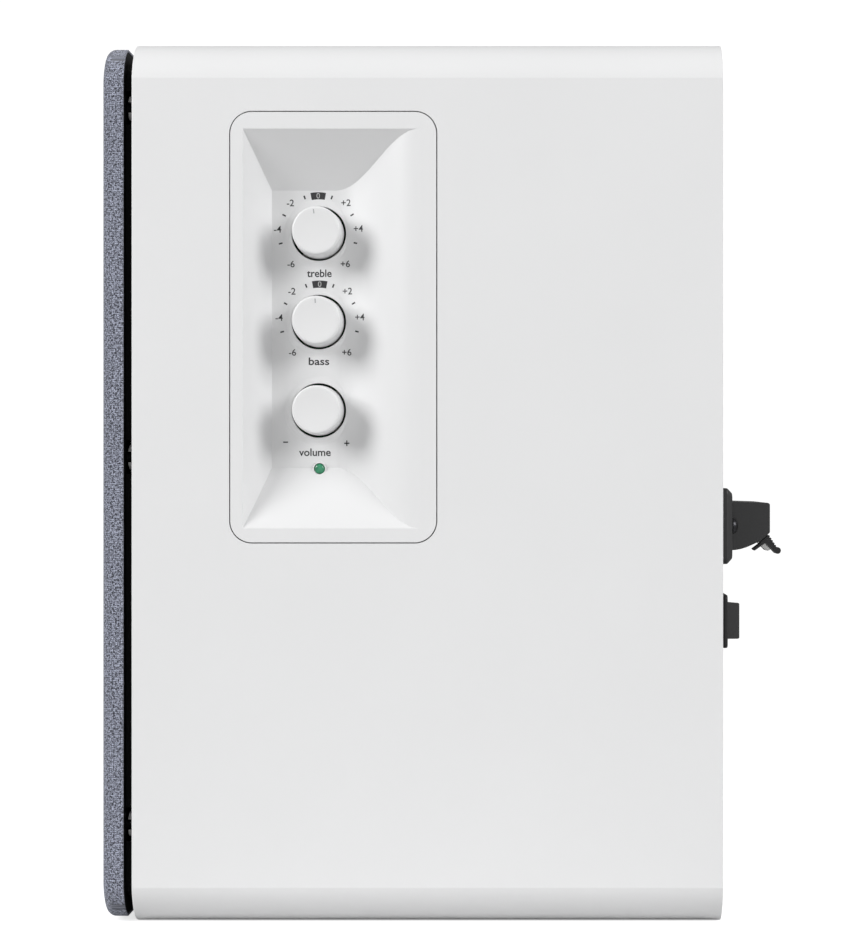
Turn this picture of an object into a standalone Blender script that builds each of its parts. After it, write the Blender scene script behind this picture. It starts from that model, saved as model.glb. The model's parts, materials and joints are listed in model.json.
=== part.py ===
"""Active two-way bookshelf speaker, built piece by piece.

Metres, +Z up. The front and its grille face -Y, the controls are on the +X side, and the amplifier's
plate with its terminals is at the back. The origin is on the ground, under the middle of the speaker.

Each group is modelled in a station: a frame on one side of the cabinet whose X points right, Y up and
Z out of the cabinet, seen from that side.
"""

import math

import bmesh
import bpy

MM = 0.001
GAP = 0.3 * MM

# Cabinet
WIDTH = 146 * MM
HEIGHT = 234 * MM
DEPTH = 156.3 * MM
WALL = 9 * MM
CORNER_RADIUS = 13 * MM
CORNER_TURN = math.radians(66)
BAFFLE_THICKNESS = 12 * MM
BAFFLE_EDGE = 4 * MM
BAFFLE_CORNER = 8 * MM
PANEL_THICKNESS = 9 * MM

# Grille
GRILLE_INSET = 1 * MM
GRILLE_REACH = 7.9 * MM
CLOTH_REAR = 2.3 * MM
CLOTH_THICKNESS = 0.6 * MM
CLOTH_ROUND = 2.5 * MM
FRAME_INNER_INSET = 14 * MM
LIP_INSET = 6.4 * MM
PEG_RADIUS = 1.5 * MM
PEG_LENGTH = 9 * MM
CUP_RADIUS = 3.3 * MM
CUP_STEM = 2.9 * MM
CUP_BORE = 1.8 * MM
CUP_COLLAR = 1.7 * MM
CUP_SIDE = 64.5 * MM
CUP_HEIGHTS = (26 * MM, 123.9 * MM, 217 * MM)

# Drivers and port
WOOFER_HEIGHT = 90 * MM
WOOFER_FLANGE = 57 * MM
WOOFER_MOUTH = 47 * MM
WOOFER_REBATE = 2.7 * MM
CONE_RADIUS = 40 * MM
COIL_RADIUS = 10.8 * MM
WOOFER_SCREW_CIRCLE = 53.8 * MM
TWEETER_HEIGHT = 186 * MM
TWEETER_FLANGE = 30 * MM
TWEETER_SCREW_CIRCLE = 24 * MM
PORT_HEIGHT = 22 * MM
PORT_WIDTH = 62.4 * MM
PORT_TALL = 13.4 * MM
PORT_LENGTH = 90 * MM
PORT_WALL = 1.8 * MM

# Control panel. U runs back from the cabinet's front edge and V up from the ground.
PLATE_U = (26.1 * MM, 80.5 * MM)
PLATE_V = (101.3 * MM, 215 * MM)
PLATE_CORNER = 5.7 * MM
PLATE_THICKNESS = 2.2 * MM
DISH_U = (29.4 * MM, 76.2 * MM)
DISH_V = (105 * MM, 210.6 * MM)
FLOOR_U = (36.1 * MM, 53.2 * MM)
FLOOR_V = (121 * MM, 195.4 * MM)
DISH_DEPTH = 11 * MM
DISH_WALL = 2 * MM
KNOB_U = 48.7 * MM
KNOB_V = {"treble": 183.8 * MM, "bass": 160.1 * MM, "volume": 136.4 * MM}
KNOB_RADIUS = 6.8 * MM
KNOB_HOLE = 7.3 * MM
KNOB_LIP = 7.75 * MM
KNOB_BORE = 3.3 * MM
SHAFT_RADIUS = 3 * MM
BUSH_BORE = 3.1 * MM
LED_U = 48.9 * MM
LED_V = 120.8 * MM
BOARD_BEHIND = 28 * MM
BOARD_THICKNESS = 1.6 * MM

# Back: X runs towards -X of the speaker, so it is positive on the right when seen from behind.
AMP_WIDTH = 93 * MM
AMP_HEIGHT = 150 * MM
AMP_X = -0.5 * MM
AMP_Y = 123 * MM
AMP_PLATE = 2 * MM
AMP_OPENING = (84 * MM, 138 * MM)
AMP_BOARD_HEIGHT = -32 * MM
SINK_SPAN = (-23 * MM, 26 * MM)
SINK_FINS = 7
FIN_THICKNESS = 2 * MM
FIN_DEPTH = 22 * MM
SINK_BASE = 5 * MM
CAPACITOR_RADIUS = 9 * MM
CAPACITOR_LENGTH = 30 * MM
TERMINAL_X = 2 * MM
TERMINAL_Y = 104.7 * MM
TERMINAL_WIDTH = 60 * MM
TERMINAL_TALL = 21.4 * MM
TERMINAL_FACE = 6.2 * MM
TERMINAL_REACH = 17.3 * MM
TERMINAL_BODY_WIDTH = 46 * MM
TERMINAL_SCREW_X = 25.9 * MM
LEVER_TEETH = 5
LEVER_RIB = 0.35 * MM
LEVER_WIDTH = 7 * MM
LEVER_SPREAD = 15.5 * MM
LEVER_PIVOT = (14.9 * MM, -4.1 * MM)
LEVER_BALL = (19.84 * MM, -7.15 * MM)
LEVER_BALL_RADIUS = 0.95 * MM
SWITCH_X = -32.5 * MM
SWITCH_Y = 78.7 * MM
ROCKER_PIVOT = -1.5 * MM
ROCKER_TILT = math.radians(9)
INLET_X = 20 * MM
INLET_Y = 70 * MM
SOCKET_X = 28.5 * MM
SOCKET_Y = 172 * MM
SOCKET_PITCH = 14 * MM
SCREW_HOLE = 1.6 * MM

# Pan-head screws: head radius, head height, shank radius, shank length.
WOOFER_SCREW = (2.5 * MM, 1.6 * MM, 1.3 * MM, 10 * MM)
TWEETER_SCREW = (2.5 * MM, 1.6 * MM, 1.3 * MM, 9 * MM)
TERMINAL_SCREW = (2.2 * MM, 1.8 * MM, 1.3 * MM, 12 * MM)

# The whole speaker runs from the grille's cloth to the levers' tips.
REAR_REACH = LEVER_BALL[0] + LEVER_BALL_RADIUS
FRONT_Y = (GRILLE_REACH - DEPTH - REAR_REACH) / 2
REAR_Y = FRONT_Y + DEPTH

SEEN_FROM_FRONT = (math.pi / 2, 0, 0)
SEEN_FROM_SIDE = (math.pi / 2, 0, math.pi / 2)
SEEN_FROM_BACK = (math.pi / 2, 0, math.pi)


# Outlines: lists of (x, y), anticlockwise.


def arc(centre, radius, start, end, steps):
    """Points on an arc from start to end, in degrees, with both ends."""
    angles = [math.radians(start + (end - start) * i / steps) for i in range(steps + 1)]
    return [(centre[0] + radius * math.cos(a), centre[1] + radius * math.sin(a)) for a in angles]


def circle(radius, count, centre=(0, 0)):
    return arc(centre, radius, 0, 360 - 360 / count, count - 1)


def rounded(width, height, radius, centre=(0, 0), steps=3):
    """A rectangle with round corners."""
    points = []
    for corner, (side, end) in enumerate(((1, 1), (-1, 1), (-1, -1), (1, -1))):
        middle = (centre[0] + side * (width / 2 - radius), centre[1] + end * (height / 2 - radius))
        points += arc(middle, radius, 90 * corner, 90 * corner + 90, steps)
    return points


def box_outline(x_span, y_span):
    return [(x_span[1], y_span[1]), (x_span[0], y_span[1]), (x_span[0], y_span[0]), (x_span[1], y_span[0])]


def cabinet_outline(inset=0, steps=6):
    """The cabinet seen from the front: each corner is an arc that meets the flat sides in a faint crease."""
    lean = (math.pi / 2 - CORNER_TURN) / 2
    reach = CORNER_RADIUS * math.cos(lean)
    side = WIDTH / 2 - reach
    end = HEIGHT / 2 - reach
    first = math.degrees(lean)
    last = math.degrees(lean + CORNER_TURN)
    points = []
    for corner, (right, up) in enumerate(((1, 1), (-1, 1), (-1, -1), (1, -1))):
        middle = (right * side, HEIGHT / 2 + up * end)
        points += arc(middle, CORNER_RADIUS - inset, 90 * corner + first, 90 * corner + last, steps)
    return points


# Solids


def loft(rings, closed=False):
    """A solid through rings of points: its ends are capped, or closed joins the last ring to the first."""
    form = bmesh.new()
    rows = [[form.verts.new(point) for point in ring] for ring in rings]
    pairs = list(zip(rows, rows[1:]))
    if closed:
        pairs.append((rows[-1], rows[0]))
    else:
        form.faces.new(rows[0])
        form.faces.new(rows[-1])
    for low, high in pairs:
        for i in range(len(low)):
            form.faces.new((low[i - 1], low[i], high[i], high[i - 1]))
    bmesh.ops.recalc_face_normals(form, faces=form.faces)
    return form


def level(outline, height):
    return [(x, y, height) for x, y in outline]


def prism(outline, low, high):
    """The outline, from one height to another along Z."""
    return loft([level(outline, low), level(outline, high)])


def across(profile, low, high):
    """A profile of (z, y) points, extruded along X."""
    return loft([[(x, y, z) for z, y in profile] for x in (low, high)])


def along(profile, low, high):
    """A profile of (x, z) points, extruded along Y."""
    return loft([[(x, y, z) for x, z in profile] for y in (low, high)])


def turned(profile, count, closed=False):
    """A profile of (radius, height) points, turned about Z. A closed profile makes a ring."""
    return loft([level(circle(radius, count), height) for radius, height in profile], closed)


def gathered(forms):
    """Several separate solids in one mesh, to be used as one cutter."""
    whole = bmesh.new()
    for form in forms:
        mesh = bpy.data.meshes.new("gathered")
        form.to_mesh(mesh)
        form.free()
        whole.from_mesh(mesh)
        bpy.data.meshes.remove(mesh)
    return whole


# Objects


def material(name, colour, roughness, metallic=0.0):
    made = bpy.data.materials.new(name)
    made.use_nodes = True
    shader = made.node_tree.nodes["Principled BSDF"]
    shader.inputs["Base Color"].default_value = (*colour, 1)
    shader.inputs["Roughness"].default_value = roughness
    shader.inputs["Metallic"].default_value = metallic
    made.diffuse_color = (*colour, 1)
    return made


def station(name, location, turn, parent=None):
    empty = bpy.data.objects.new(name, None)
    bpy.context.scene.collection.objects.link(empty)
    empty.parent = parent
    empty.location = location
    empty.rotation_euler = turn
    return empty


def solid(name, form, parent, surface, location=(0, 0, 0)):
    """A named object with its own mesh, placed in its parent's frame."""
    mesh = bpy.data.meshes.new(name)
    form.to_mesh(mesh)
    form.free()
    mesh.shade_smooth()
    mesh.set_sharp_from_angle(angle=math.radians(30))
    mesh.materials.append(surface)
    made = bpy.data.objects.new(name, mesh)
    bpy.context.scene.collection.objects.link(made)
    made.parent = parent
    made.location = location
    return made


def change(target, form, operation="DIFFERENCE", parent=None, location=(0, 0, 0)):
    """Cuts a form from the target, or joins it on. The form is in the frame of the target's parent."""
    tool = solid(f"{target.name}_tool", form, parent or target.parent, target.data.materials[0], location)
    tool.hide_render = True
    tool.display_type = "WIRE"
    modifier = target.modifiers.new(operation.title(), "BOOLEAN")
    modifier.operation = operation
    modifier.object = tool
    return tool


# Cabinet


def dish_rim_cut(low, high):
    """The hole behind the control panel's flange."""
    spans = ((DISH_U[0] - 1.1 * MM, DISH_U[1] + 2 * MM), (DISH_V[0] - 0.5 * MM, DISH_V[1] + 0.4 * MM))
    return prism(box_outline(*spans), low, high)


def plate_outline(grow=0):
    middle = (sum(PLATE_U) / 2, sum(PLATE_V) / 2)
    wide = PLATE_U[1] - PLATE_U[0] + 2 * grow
    tall = PLATE_V[1] - PLATE_V[0] + 2 * grow
    return rounded(wide, tall, PLATE_CORNER + grow, middle, 4)


def build_cabinet(front, side):
    vinyl = material("white_vinyl", (0.8, 0.8, 0.8), 0.45)
    shell = solid("cabinet_shell", prism(cabinet_outline(), -DEPTH, 0), front, vinyl)
    inner = rounded(WIDTH - 2 * WALL, HEIGHT - 2 * WALL, 2 * MM, (0, HEIGHT / 2), 2)
    change(shell, prism(inner, -DEPTH - WALL, WALL))
    rebate = rounded(WIDTH - 2 * BAFFLE_EDGE, HEIGHT - 2 * BAFFLE_EDGE, BAFFLE_CORNER, (0, HEIGHT / 2), 5)
    change(shell, prism(rebate, -BAFFLE_THICKNESS, WALL))
    change(shell, prism(plate_outline(GAP), -PLATE_THICKNESS - GAP, WALL), parent=side)
    change(shell, dish_rim_cut(-WALL - 2 * MM, 0), parent=side)

    board = material("rear_board_black", (0.02, 0.02, 0.02), 0.6)
    back_face = GAP - DEPTH
    outline = rounded(WIDTH - 2 * WALL - 2 * GAP, HEIGHT - 2 * WALL - 2 * GAP, 2 * MM, (0, HEIGHT / 2), 2)
    panel = solid("rear_panel", prism(outline, back_face, back_face + PANEL_THICKNESS), front, board)
    opening = rounded(*AMP_OPENING, 3 * MM, (-AMP_X, AMP_Y), 2)
    change(panel, prism(opening, back_face - WALL, back_face + 2 * PANEL_THICKNESS))

    fleece = material("wadding_grey", (0.35, 0.35, 0.34), 0.95)
    sheet = box_outline((-55 * MM, 55 * MM), (216 * MM, HEIGHT - WALL - GAP))
    solid("damping_wadding", prism(sheet, -140 * MM, -20 * MM), front, fleece)


def build_baffle(front):
    black = material("baffle_black", (0.012, 0.012, 0.012), 0.55)
    edge = BAFFLE_EDGE + GAP
    outline = rounded(WIDTH - 2 * edge, HEIGHT - 2 * edge, BAFFLE_CORNER - GAP, (0, HEIGHT / 2), 5)
    baffle = solid("front_baffle", prism(outline, GAP - BAFFLE_THICKNESS, 0), front, black)
    deep = -BAFFLE_THICKNESS - WALL
    woofer = (0, WOOFER_HEIGHT)
    tweeter = (0, TWEETER_HEIGHT)
    port = (0, PORT_HEIGHT)
    recesses = [
        prism(circle(WOOFER_FLANGE + GAP, 36, woofer), -WOOFER_REBATE, WALL),
        prism(circle(TWEETER_FLANGE + GAP, 28, tweeter), -WOOFER_REBATE, WALL),
        prism(rounded(PORT_WIDTH + 4 * MM, PORT_TALL + 4 * MM, 8.6 * MM, port, 4), -1.6 * MM, WALL),
    ]
    change(baffle, gathered(recesses))
    holes = [
        prism(circle(WOOFER_MOUTH + 2 * GAP, 36, woofer), deep, WALL),
        prism(circle(21 * MM, 24, tweeter), deep, WALL),
        prism(rounded(PORT_WIDTH + 2 * GAP, PORT_TALL + 2 * GAP, PORT_TALL / 2, port, 4), deep, WALL),
    ]
    for right in (-1, 1):
        for height in CUP_HEIGHTS:
            holes.append(prism(circle(CUP_STEM + GAP, 10, (right * CUP_SIDE, height)), deep, WALL))
    holes += [prism(circle(SCREW_HOLE, 8, spot), deep, WALL) for spot in woofer_screw_places(woofer)]
    holes += [prism(circle(SCREW_HOLE, 8, spot), deep, WALL) for spot in tweeter_screw_places(tweeter)]
    change(baffle, gathered(holes))


def build_port(front):
    plastic = material("port_black", (0.015, 0.015, 0.015), 0.4)
    centre = (0, PORT_HEIGHT)
    flange = (PORT_WIDTH + 3.2 * MM, PORT_TALL + 3.2 * MM, 8.2 * MM)
    inner = (PORT_WIDTH - 2 * PORT_WALL, PORT_TALL - 2 * PORT_WALL, PORT_TALL / 2 - PORT_WALL)
    outer = (PORT_WIDTH, PORT_TALL, PORT_TALL / 2)
    steps = (
        (flange, 0),
        (flange, -1.2 * MM),
        (outer, -1.3 * MM),
        (outer, -PORT_LENGTH),
        (inner, -PORT_LENGTH),
        (inner, 0),
    )
    rings = [level(rounded(*sizes, centre, 4), height) for sizes, height in steps]
    solid("port_tube", loft(rings, closed=True), front, plastic)


# Grille


def build_grille(front):
    grey = material("grille_cloth", (0.2, 0.21, 0.25), 0.9)
    front_face = GRILLE_REACH
    turn = [math.radians(a) for a in (0, 30, 60, 90)]
    edge = [
        (GRILLE_INSET + CLOTH_ROUND * (1 - math.cos(a)), front_face - CLOTH_ROUND * (1 - math.sin(a)))
        for a in turn
    ]
    outside = [(GRILLE_INSET, CLOTH_REAR), *edge]
    inside = [(inset + CLOTH_THICKNESS, height) for inset, height in outside]
    inside[-1] = (outside[-1][0] + CLOTH_THICKNESS, front_face - CLOTH_THICKNESS)
    inside[-2] = (inside[-2][0], inside[-2][1] - CLOTH_THICKNESS / 2)
    steps = [*reversed(outside), *inside]
    rings = [level(cabinet_outline(inset), height) for inset, height in steps]
    solid("grille_cloth", loft(rings), front, grey)

    black = material("grille_frame_black", (0.015, 0.015, 0.015), 0.5)
    side = GRILLE_INSET + CLOTH_THICKNESS + GAP / 2
    top = front_face - CLOTH_THICKNESS - GAP
    steps = (
        (LIP_INSET, GAP),
        (LIP_INSET, CLOTH_REAR),
        (side, CLOTH_REAR),
        (side, top - 1.9 * MM),
        (side + 2.4 * MM, top),
    )
    rings = [level(cabinet_outline(inset), height) for inset, height in steps]
    window = (WIDTH - 2 * FRAME_INNER_INSET, HEIGHT - 2 * FRAME_INNER_INSET)
    opening = rounded(*window, 3 * MM, (0, HEIGHT / 2), 6)
    rings += [level(opening, top), level(opening, GAP)]
    frame = solid("grille_frame", loft(rings, closed=True), front, black)
    reach = WIDTH / 2 - FRAME_INNER_INSET + 2 * MM
    bar = box_outline((-reach, reach), (148.5 * MM, 154.5 * MM))
    change(frame, prism(bar, top - 3 * MM, top - 0.2 * MM), "UNION")
    notches = []
    pegs = []
    for right in (-1, 1):
        for height in CUP_HEIGHTS:
            spot = (right * CUP_SIDE, height)
            span = sorted((right * (WIDTH / 2 - FRAME_INNER_INSET - 2 * MM), right * WIDTH / 2))
            across_lip = (height - CUP_RADIUS - 1.2 * MM, height + CUP_RADIUS + 1.2 * MM)
            notches.append(prism(box_outline(span, across_lip), -1 * MM, CLOTH_REAR))
            pegs.append(prism(circle(PEG_RADIUS, 12, spot), -PEG_LENGTH, CLOTH_REAR + 1 * MM))
    change(frame, gathered(notches))
    change(frame, gathered(pegs), "UNION")

    pale = material("cup_white", (0.7, 0.7, 0.69), 0.5)
    profile = (
        (CUP_RADIUS, GAP),
        (CUP_RADIUS, CUP_COLLAR),
        (CUP_BORE, CUP_COLLAR),
        (CUP_BORE, -BAFFLE_THICKNESS + 1 * MM),
        (CUP_STEM, -BAFFLE_THICKNESS + 1 * MM),
        (CUP_STEM, GAP),
    )
    number = 0
    for right in (-1, 1):
        for height in CUP_HEIGHTS:
            number += 1
            spot = (right * CUP_SIDE, height, 0)
            cup = solid(f"grille_cup_{number}", turned(profile, 12, closed=True), front, pale, spot)
            span = sorted((right * CUP_BORE / 2, right * 2 * CUP_RADIUS))
            slot = prism(box_outline(span, (-1.45 * MM, 1.45 * MM)), 2 * GAP, 2 * CUP_COLLAR)
            change(cup, slot, location=spot)


# Woofer. Heights are from the baffle's face.


def woofer_screw_places(centre=(0, 0)):
    return arc(centre, WOOFER_SCREW_CIRCLE, 45, 315, 3)


def tweeter_screw_places(centre=(0, 0)):
    return arc(centre, TWEETER_SCREW_CIRCLE, 90, 330, 2)


def screw_form(head_radius, head_height, shank_radius, shank_length):
    """A pan-head screw whose head sits on Z = 0."""
    profile = (
        (head_radius * 0.6, head_height),
        (head_radius * 0.93, head_height * 0.6),
        (head_radius, GAP),
        (shank_radius, GAP),
        (shank_radius, -shank_length),
    )
    return turned(profile, 10)


def build_basket(woofer):
    steel = material("basket_steel", (0.03, 0.03, 0.03), 0.4, 0.6)
    profile = [
        (WOOFER_FLANGE, 0),
        (WOOFER_FLANGE, -2.2 * MM),
        (46.8 * MM, -2.2 * MM),
        (31.4 * MM, -31.2 * MM),
        (17 * MM, -31.2 * MM),
        (17 * MM, -30 * MM),
        (30.6 * MM, -30 * MM),
        (45.9 * MM, -1.4 * MM),
        (46.6 * MM, 0),
    ]
    basket = solid("woofer_basket", turned(profile, 36, closed=True), woofer, steel)
    side_window = box_outline((28 * MM, 60 * MM), (-15 * MM, 15 * MM))
    end_window = box_outline((-15 * MM, 15 * MM), (28 * MM, 60 * MM))
    windows = []
    for outline in (side_window, end_window):
        for sign in (-1, 1):
            turned_round = [(sign * x, sign * y) for x, y in outline]
            windows.append(prism(turned_round, -23 * MM, -6 * MM))
    change(basket, gathered(windows))
    holes = [prism(circle(1.9 * MM, 12, spot), -4 * MM, 2 * MM) for spot in woofer_screw_places()]
    change(basket, gathered(holes))


def build_motor(woofer):
    zinc = material("motor_zinc", (0.6, 0.6, 0.58), 0.35, 1.0)
    plate = (
        (36 * MM, -36.7 * MM),
        (36 * MM, -31.5 * MM),
        (11.4 * MM, -31.5 * MM),
        (11.4 * MM, -36.7 * MM),
    )
    solid("woofer_top_plate", turned(plate, 28, closed=True), woofer, zinc)
    ferrite = material("magnet_ferrite", (0.04, 0.04, 0.045), 0.6)
    ring = ((38 * MM, -51 * MM), (38 * MM, -37 * MM), (17 * MM, -37 * MM), (17 * MM, -51 * MM))
    solid("woofer_magnet", turned(ring, 28, closed=True), woofer, ferrite)
    pole = ((36 * MM, -57 * MM), (36 * MM, -51.3 * MM), (9.4 * MM, -51.3 * MM), (9.4 * MM, -32 * MM))
    solid("woofer_yoke", turned(pole, 28), woofer, zinc)


def build_moving_cone(woofer):
    paper = material("cone_paper", (0.02, 0.02, 0.022), 0.7)
    cone = (
        (11.2 * MM, -22 * MM),
        (CONE_RADIUS, -4 * MM),
        (CONE_RADIUS, -3.2 * MM),
        (11.2 * MM, -21.2 * MM),
    )
    solid("woofer_cone", turned(cone, 36, closed=True), woofer, paper)
    cap = material("dust_cap", (0.02, 0.02, 0.022), 0.5)
    angles = [math.radians(a) for a in (2, 25, 50, 75, 90)]
    outer = [(14 * MM * math.sin(a), (-18.9 + 4.9 * math.cos(a)) * MM) for a in angles]
    inner = [(radius * 0.96, height - 0.5 * MM * (radius < 13.9 * MM)) for radius, height in outer]
    solid("woofer_dust_cap", turned([*outer, *reversed(inner)], 24), woofer, cap)
    copper = material("voice_coil", (0.55, 0.25, 0.12), 0.4, 1.0)
    coil = (
        (COIL_RADIUS, -45 * MM),
        (COIL_RADIUS, -19.5 * MM),
        (COIL_RADIUS - 0.8 * MM, -19.5 * MM),
        (COIL_RADIUS - 0.8 * MM, -45 * MM),
    )
    solid("woofer_voice_coil", turned(coil, 24, closed=True), woofer, copper)


def build_suspension(woofer):
    rubber = material("surround_rubber", (0.012, 0.012, 0.012), 0.6)
    centre = (43.2 * MM, -1 * MM)
    upper = [(37.8 * MM, -2.2 * MM), *arc(centre, 3.5 * MM, 198, 27, 4), (51 * MM, 0.9 * MM)]
    lower = [(51 * MM, GAP), (46.9 * MM, GAP), *arc(centre, 2.9 * MM, 18, 205, 4)]
    lower += [(40.2 * MM, -2.8 * MM), (37.8 * MM, -2.8 * MM)]
    solid("woofer_surround", turned([*upper, *lower], 30, closed=True), woofer, rubber)
    cloth = material("spider_cloth", (0.4, 0.28, 0.12), 0.9)
    count = 10
    spread = 20.6 * MM
    wave = [
        (11.4 * MM + spread * i / count, (-26 + 0.9 * math.sin(math.pi * i / 2)) * MM)
        for i in range(count + 1)
    ]
    under = [(radius, height - 0.5 * MM) for radius, height in reversed(wave)]
    solid("woofer_spider", turned([*wave, *under], 20, closed=True), woofer, cloth)


def build_woofer(front):
    woofer = station("woofer", (0, WOOFER_HEIGHT, 0), (0, 0, 0), front)
    build_basket(woofer)
    build_motor(woofer)
    build_moving_cone(woofer)
    build_suspension(woofer)
    steel = material("screw_black", (0.03, 0.03, 0.03), 0.35, 0.9)
    for number, spot in enumerate(woofer_screw_places(), 1):
        form = screw_form(*WOOFER_SCREW)
        solid(f"woofer_screw_{number}", form, woofer, steel, (*spot, 0))


def build_tweeter(front):
    tweeter = station("tweeter", (0, TWEETER_HEIGHT, 0), (0, 0, 0), front)
    black = material("tweeter_black", (0.015, 0.015, 0.015), 0.45)
    profile = (
        (TWEETER_FLANGE, -2.2 * MM),
        (TWEETER_FLANGE, -0.3 * MM),
        (TWEETER_FLANGE - 0.8 * MM, 0),
        (17 * MM, 0),
        (12.5 * MM, -0.8 * MM),
        (9.8 * MM, -2.2 * MM),
    )
    face = solid("tweeter_faceplate", turned(profile, 28, closed=True), tweeter, black)
    holes = [prism(circle(1.9 * MM, 12, spot), -4 * MM, 2 * MM) for spot in tweeter_screw_places()]
    change(face, gathered(holes))
    silk = material("dome_silk", (0.02, 0.02, 0.025), 0.6)
    bow = [math.radians(a) for a in (3, 25, 50, 75)]
    outer = [(6.7 * MM * math.sin(a), (-2.4 + 3 * math.cos(a)) * MM) for a in bow]
    outer += [(7.3 * MM, -1.3 * MM), (8.4 * MM, -1.1 * MM), (9.3 * MM, -1.9 * MM)]
    inner = [(radius - 0.1 * MM, height - 0.3 * MM) for radius, height in outer]
    solid("tweeter_dome", turned([*outer, *reversed(inner)], 20), tweeter, silk)
    ferrite = material("tweeter_ferrite", (0.05, 0.05, 0.05), 0.5)
    motor = ((19.5 * MM, -19 * MM), (20 * MM, -18.5 * MM), (20 * MM, -3 * MM), (19.5 * MM, -2.7 * MM))
    solid("tweeter_magnet", turned(motor, 20), tweeter, ferrite)
    steel = material("tweeter_screw", (0.03, 0.03, 0.03), 0.35, 0.9)
    for number, spot in enumerate(tweeter_screw_places(), 1):
        form = screw_form(*TWEETER_SCREW)
        solid(f"tweeter_screw_{number}", form, tweeter, steel, (*spot, 0))


# Control panel


def dish_profiles(offset):
    """The dish's two sections, front to back and bottom to top, each (position, height)."""
    floor = -DISH_DEPTH - offset
    brim = 1 * MM if offset == 0 else -1.5 * MM
    spread = offset * 0.6
    rear = []
    steps = 10
    for i in range(steps + 1):
        share = i / steps
        drop = DISH_DEPTH * (1 + math.cos(math.pi * share)) / 2
        rear.append((FLOOR_U[1] + (DISH_U[1] - FLOOR_U[1]) * share + spread, -drop - offset))
    # The walls' foot stays put while the brim moves out, so the wall keeps its thickness.
    across_u = [(DISH_U[0] - spread, brim)]
    across_v = [(DISH_V[0] - spread, brim)]
    if offset == 0:
        across_u.append((DISH_U[0], 0))
        across_v.append((DISH_V[0], 0))
    across_u += [(FLOOR_U[0] - spread, floor), *rear, (DISH_U[1] + spread, brim)]
    across_v += [(FLOOR_V[0] - spread / 2, floor), (FLOOR_V[1] + spread / 2, floor)]
    if offset == 0:
        across_v.append((DISH_V[1], 0))
    across_v.append((DISH_V[1] + spread, brim))
    return across_u, across_v


def dish_body(target, offset):
    """Leaves of the target only what is between the dish's end walls."""
    _, profile = dish_profiles(offset)
    span = (DISH_U[0] - 10 * MM, DISH_U[1] + 10 * MM)
    change(target, loft([[(u, v, w) for v, w in profile] for u in span]), "INTERSECT")


def build_control_panel(side):
    white = material("panel_white", (0.78, 0.78, 0.78), 0.4)
    ends = (DISH_V[0] - 10 * MM, DISH_V[1] + 10 * MM)
    panel = solid("control_panel", along(dish_profiles(DISH_WALL)[0], *ends), side, white)
    dish_body(panel, DISH_WALL)
    change(panel, prism(plate_outline(), -PLATE_THICKNESS, 0), "UNION")
    dish = change(panel, along(dish_profiles(0)[0], *ends))
    dish_body(dish, 0)
    floor = -DISH_DEPTH
    knobs = [(KNOB_U, height) for height in KNOB_V.values()]
    led = (LED_U, LED_V)
    raised = [prism(circle(KNOB_LIP, 28, spot), floor - 1 * MM, floor + 0.5 * MM) for spot in knobs]
    raised.append(prism(circle(1.9 * MM, 16, led), floor - 1.9 * MM, floor + 0.8 * MM))
    change(panel, gathered(raised), "UNION")
    holes = [prism(circle(KNOB_HOLE, 28, spot), floor - 4 * MM, floor + 3 * MM) for spot in knobs]
    holes.append(prism(circle(1.6 * MM, 16, led), floor - 4 * MM, floor + 3 * MM))
    change(panel, gathered(holes))

    green = material("board_green", (0.02, 0.12, 0.05), 0.5)
    outline = box_outline((36 * MM, 62 * MM), (112 * MM, 196 * MM))
    board = prism(outline, -BOARD_BEHIND - BOARD_THICKNESS, -BOARD_BEHIND)
    solid("control_board", board, side, green)
    clear = material("led_green", (0.05, 0.4, 0.2), 0.2)
    base = -BOARD_BEHIND + GAP
    tip = floor + 0.9 * MM
    profile = ((1.4 * MM, base), (1.4 * MM, tip - 0.5 * MM), (1 * MM, tip - 0.1 * MM), (0.3 * MM, tip))
    solid("power_led", turned(profile, 16), side, clear, (LED_U, LED_V, 0))


def build_knob(side, name):
    """One knob on its shaft, with the potentiometer or encoder that turns with it."""
    metal = material(f"{name}_can", (0.6, 0.6, 0.62), 0.35, 1.0)
    spot = (KNOB_U, KNOB_V[name], 0)
    base = -BOARD_BEHIND + GAP
    shoulder = -20.7 * MM
    can = prism(rounded(10 * MM, 11 * MM, 0.6 * MM, steps=1), base, shoulder)
    kind = "encoder" if name == "volume" else "potentiometer"
    turner = solid(f"{name}_{kind}", can, side, metal, spot)
    change(turner, prism(circle(3.9 * MM, 16), shoulder - 1 * MM, -15 * MM), "UNION", location=spot)
    change(turner, prism(circle(BUSH_BORE, 16), base + 1 * MM, -10 * MM), location=spot)

    steel = material(f"{name}_shaft", (0.65, 0.65, 0.66), 0.3, 1.0)
    profile = (
        (SHAFT_RADIUS, base + 1.5 * MM),
        (SHAFT_RADIUS, -3.4 * MM),
        (SHAFT_RADIUS - 0.4 * MM, -3 * MM),
    )
    solid(f"{name}_shaft", turned(profile, 16), side, steel, spot)

    white = material(f"{name}_knob", (0.78, 0.78, 0.78), 0.35)
    bottom = -DISH_DEPTH - 1.6 * MM
    profile = (
        (0.3 * MM, -2.6 * MM),
        (KNOB_BORE, -2.6 * MM),
        (KNOB_BORE, bottom),
        (KNOB_RADIUS, bottom),
        (KNOB_RADIUS, -10.6 * MM),
        (KNOB_RADIUS - 0.3 * MM, -1.9 * MM),
        (KNOB_RADIUS - 0.6 * MM, -1 * MM),
        (KNOB_RADIUS - 1.2 * MM, -0.6 * MM),
        (KNOB_RADIUS - 2.6 * MM, -0.9 * MM),
        (0.3 * MM, -1.2 * MM),
    )
    solid(f"{name}_knob", turned(profile, 24), side, white, spot)


# Back


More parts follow.
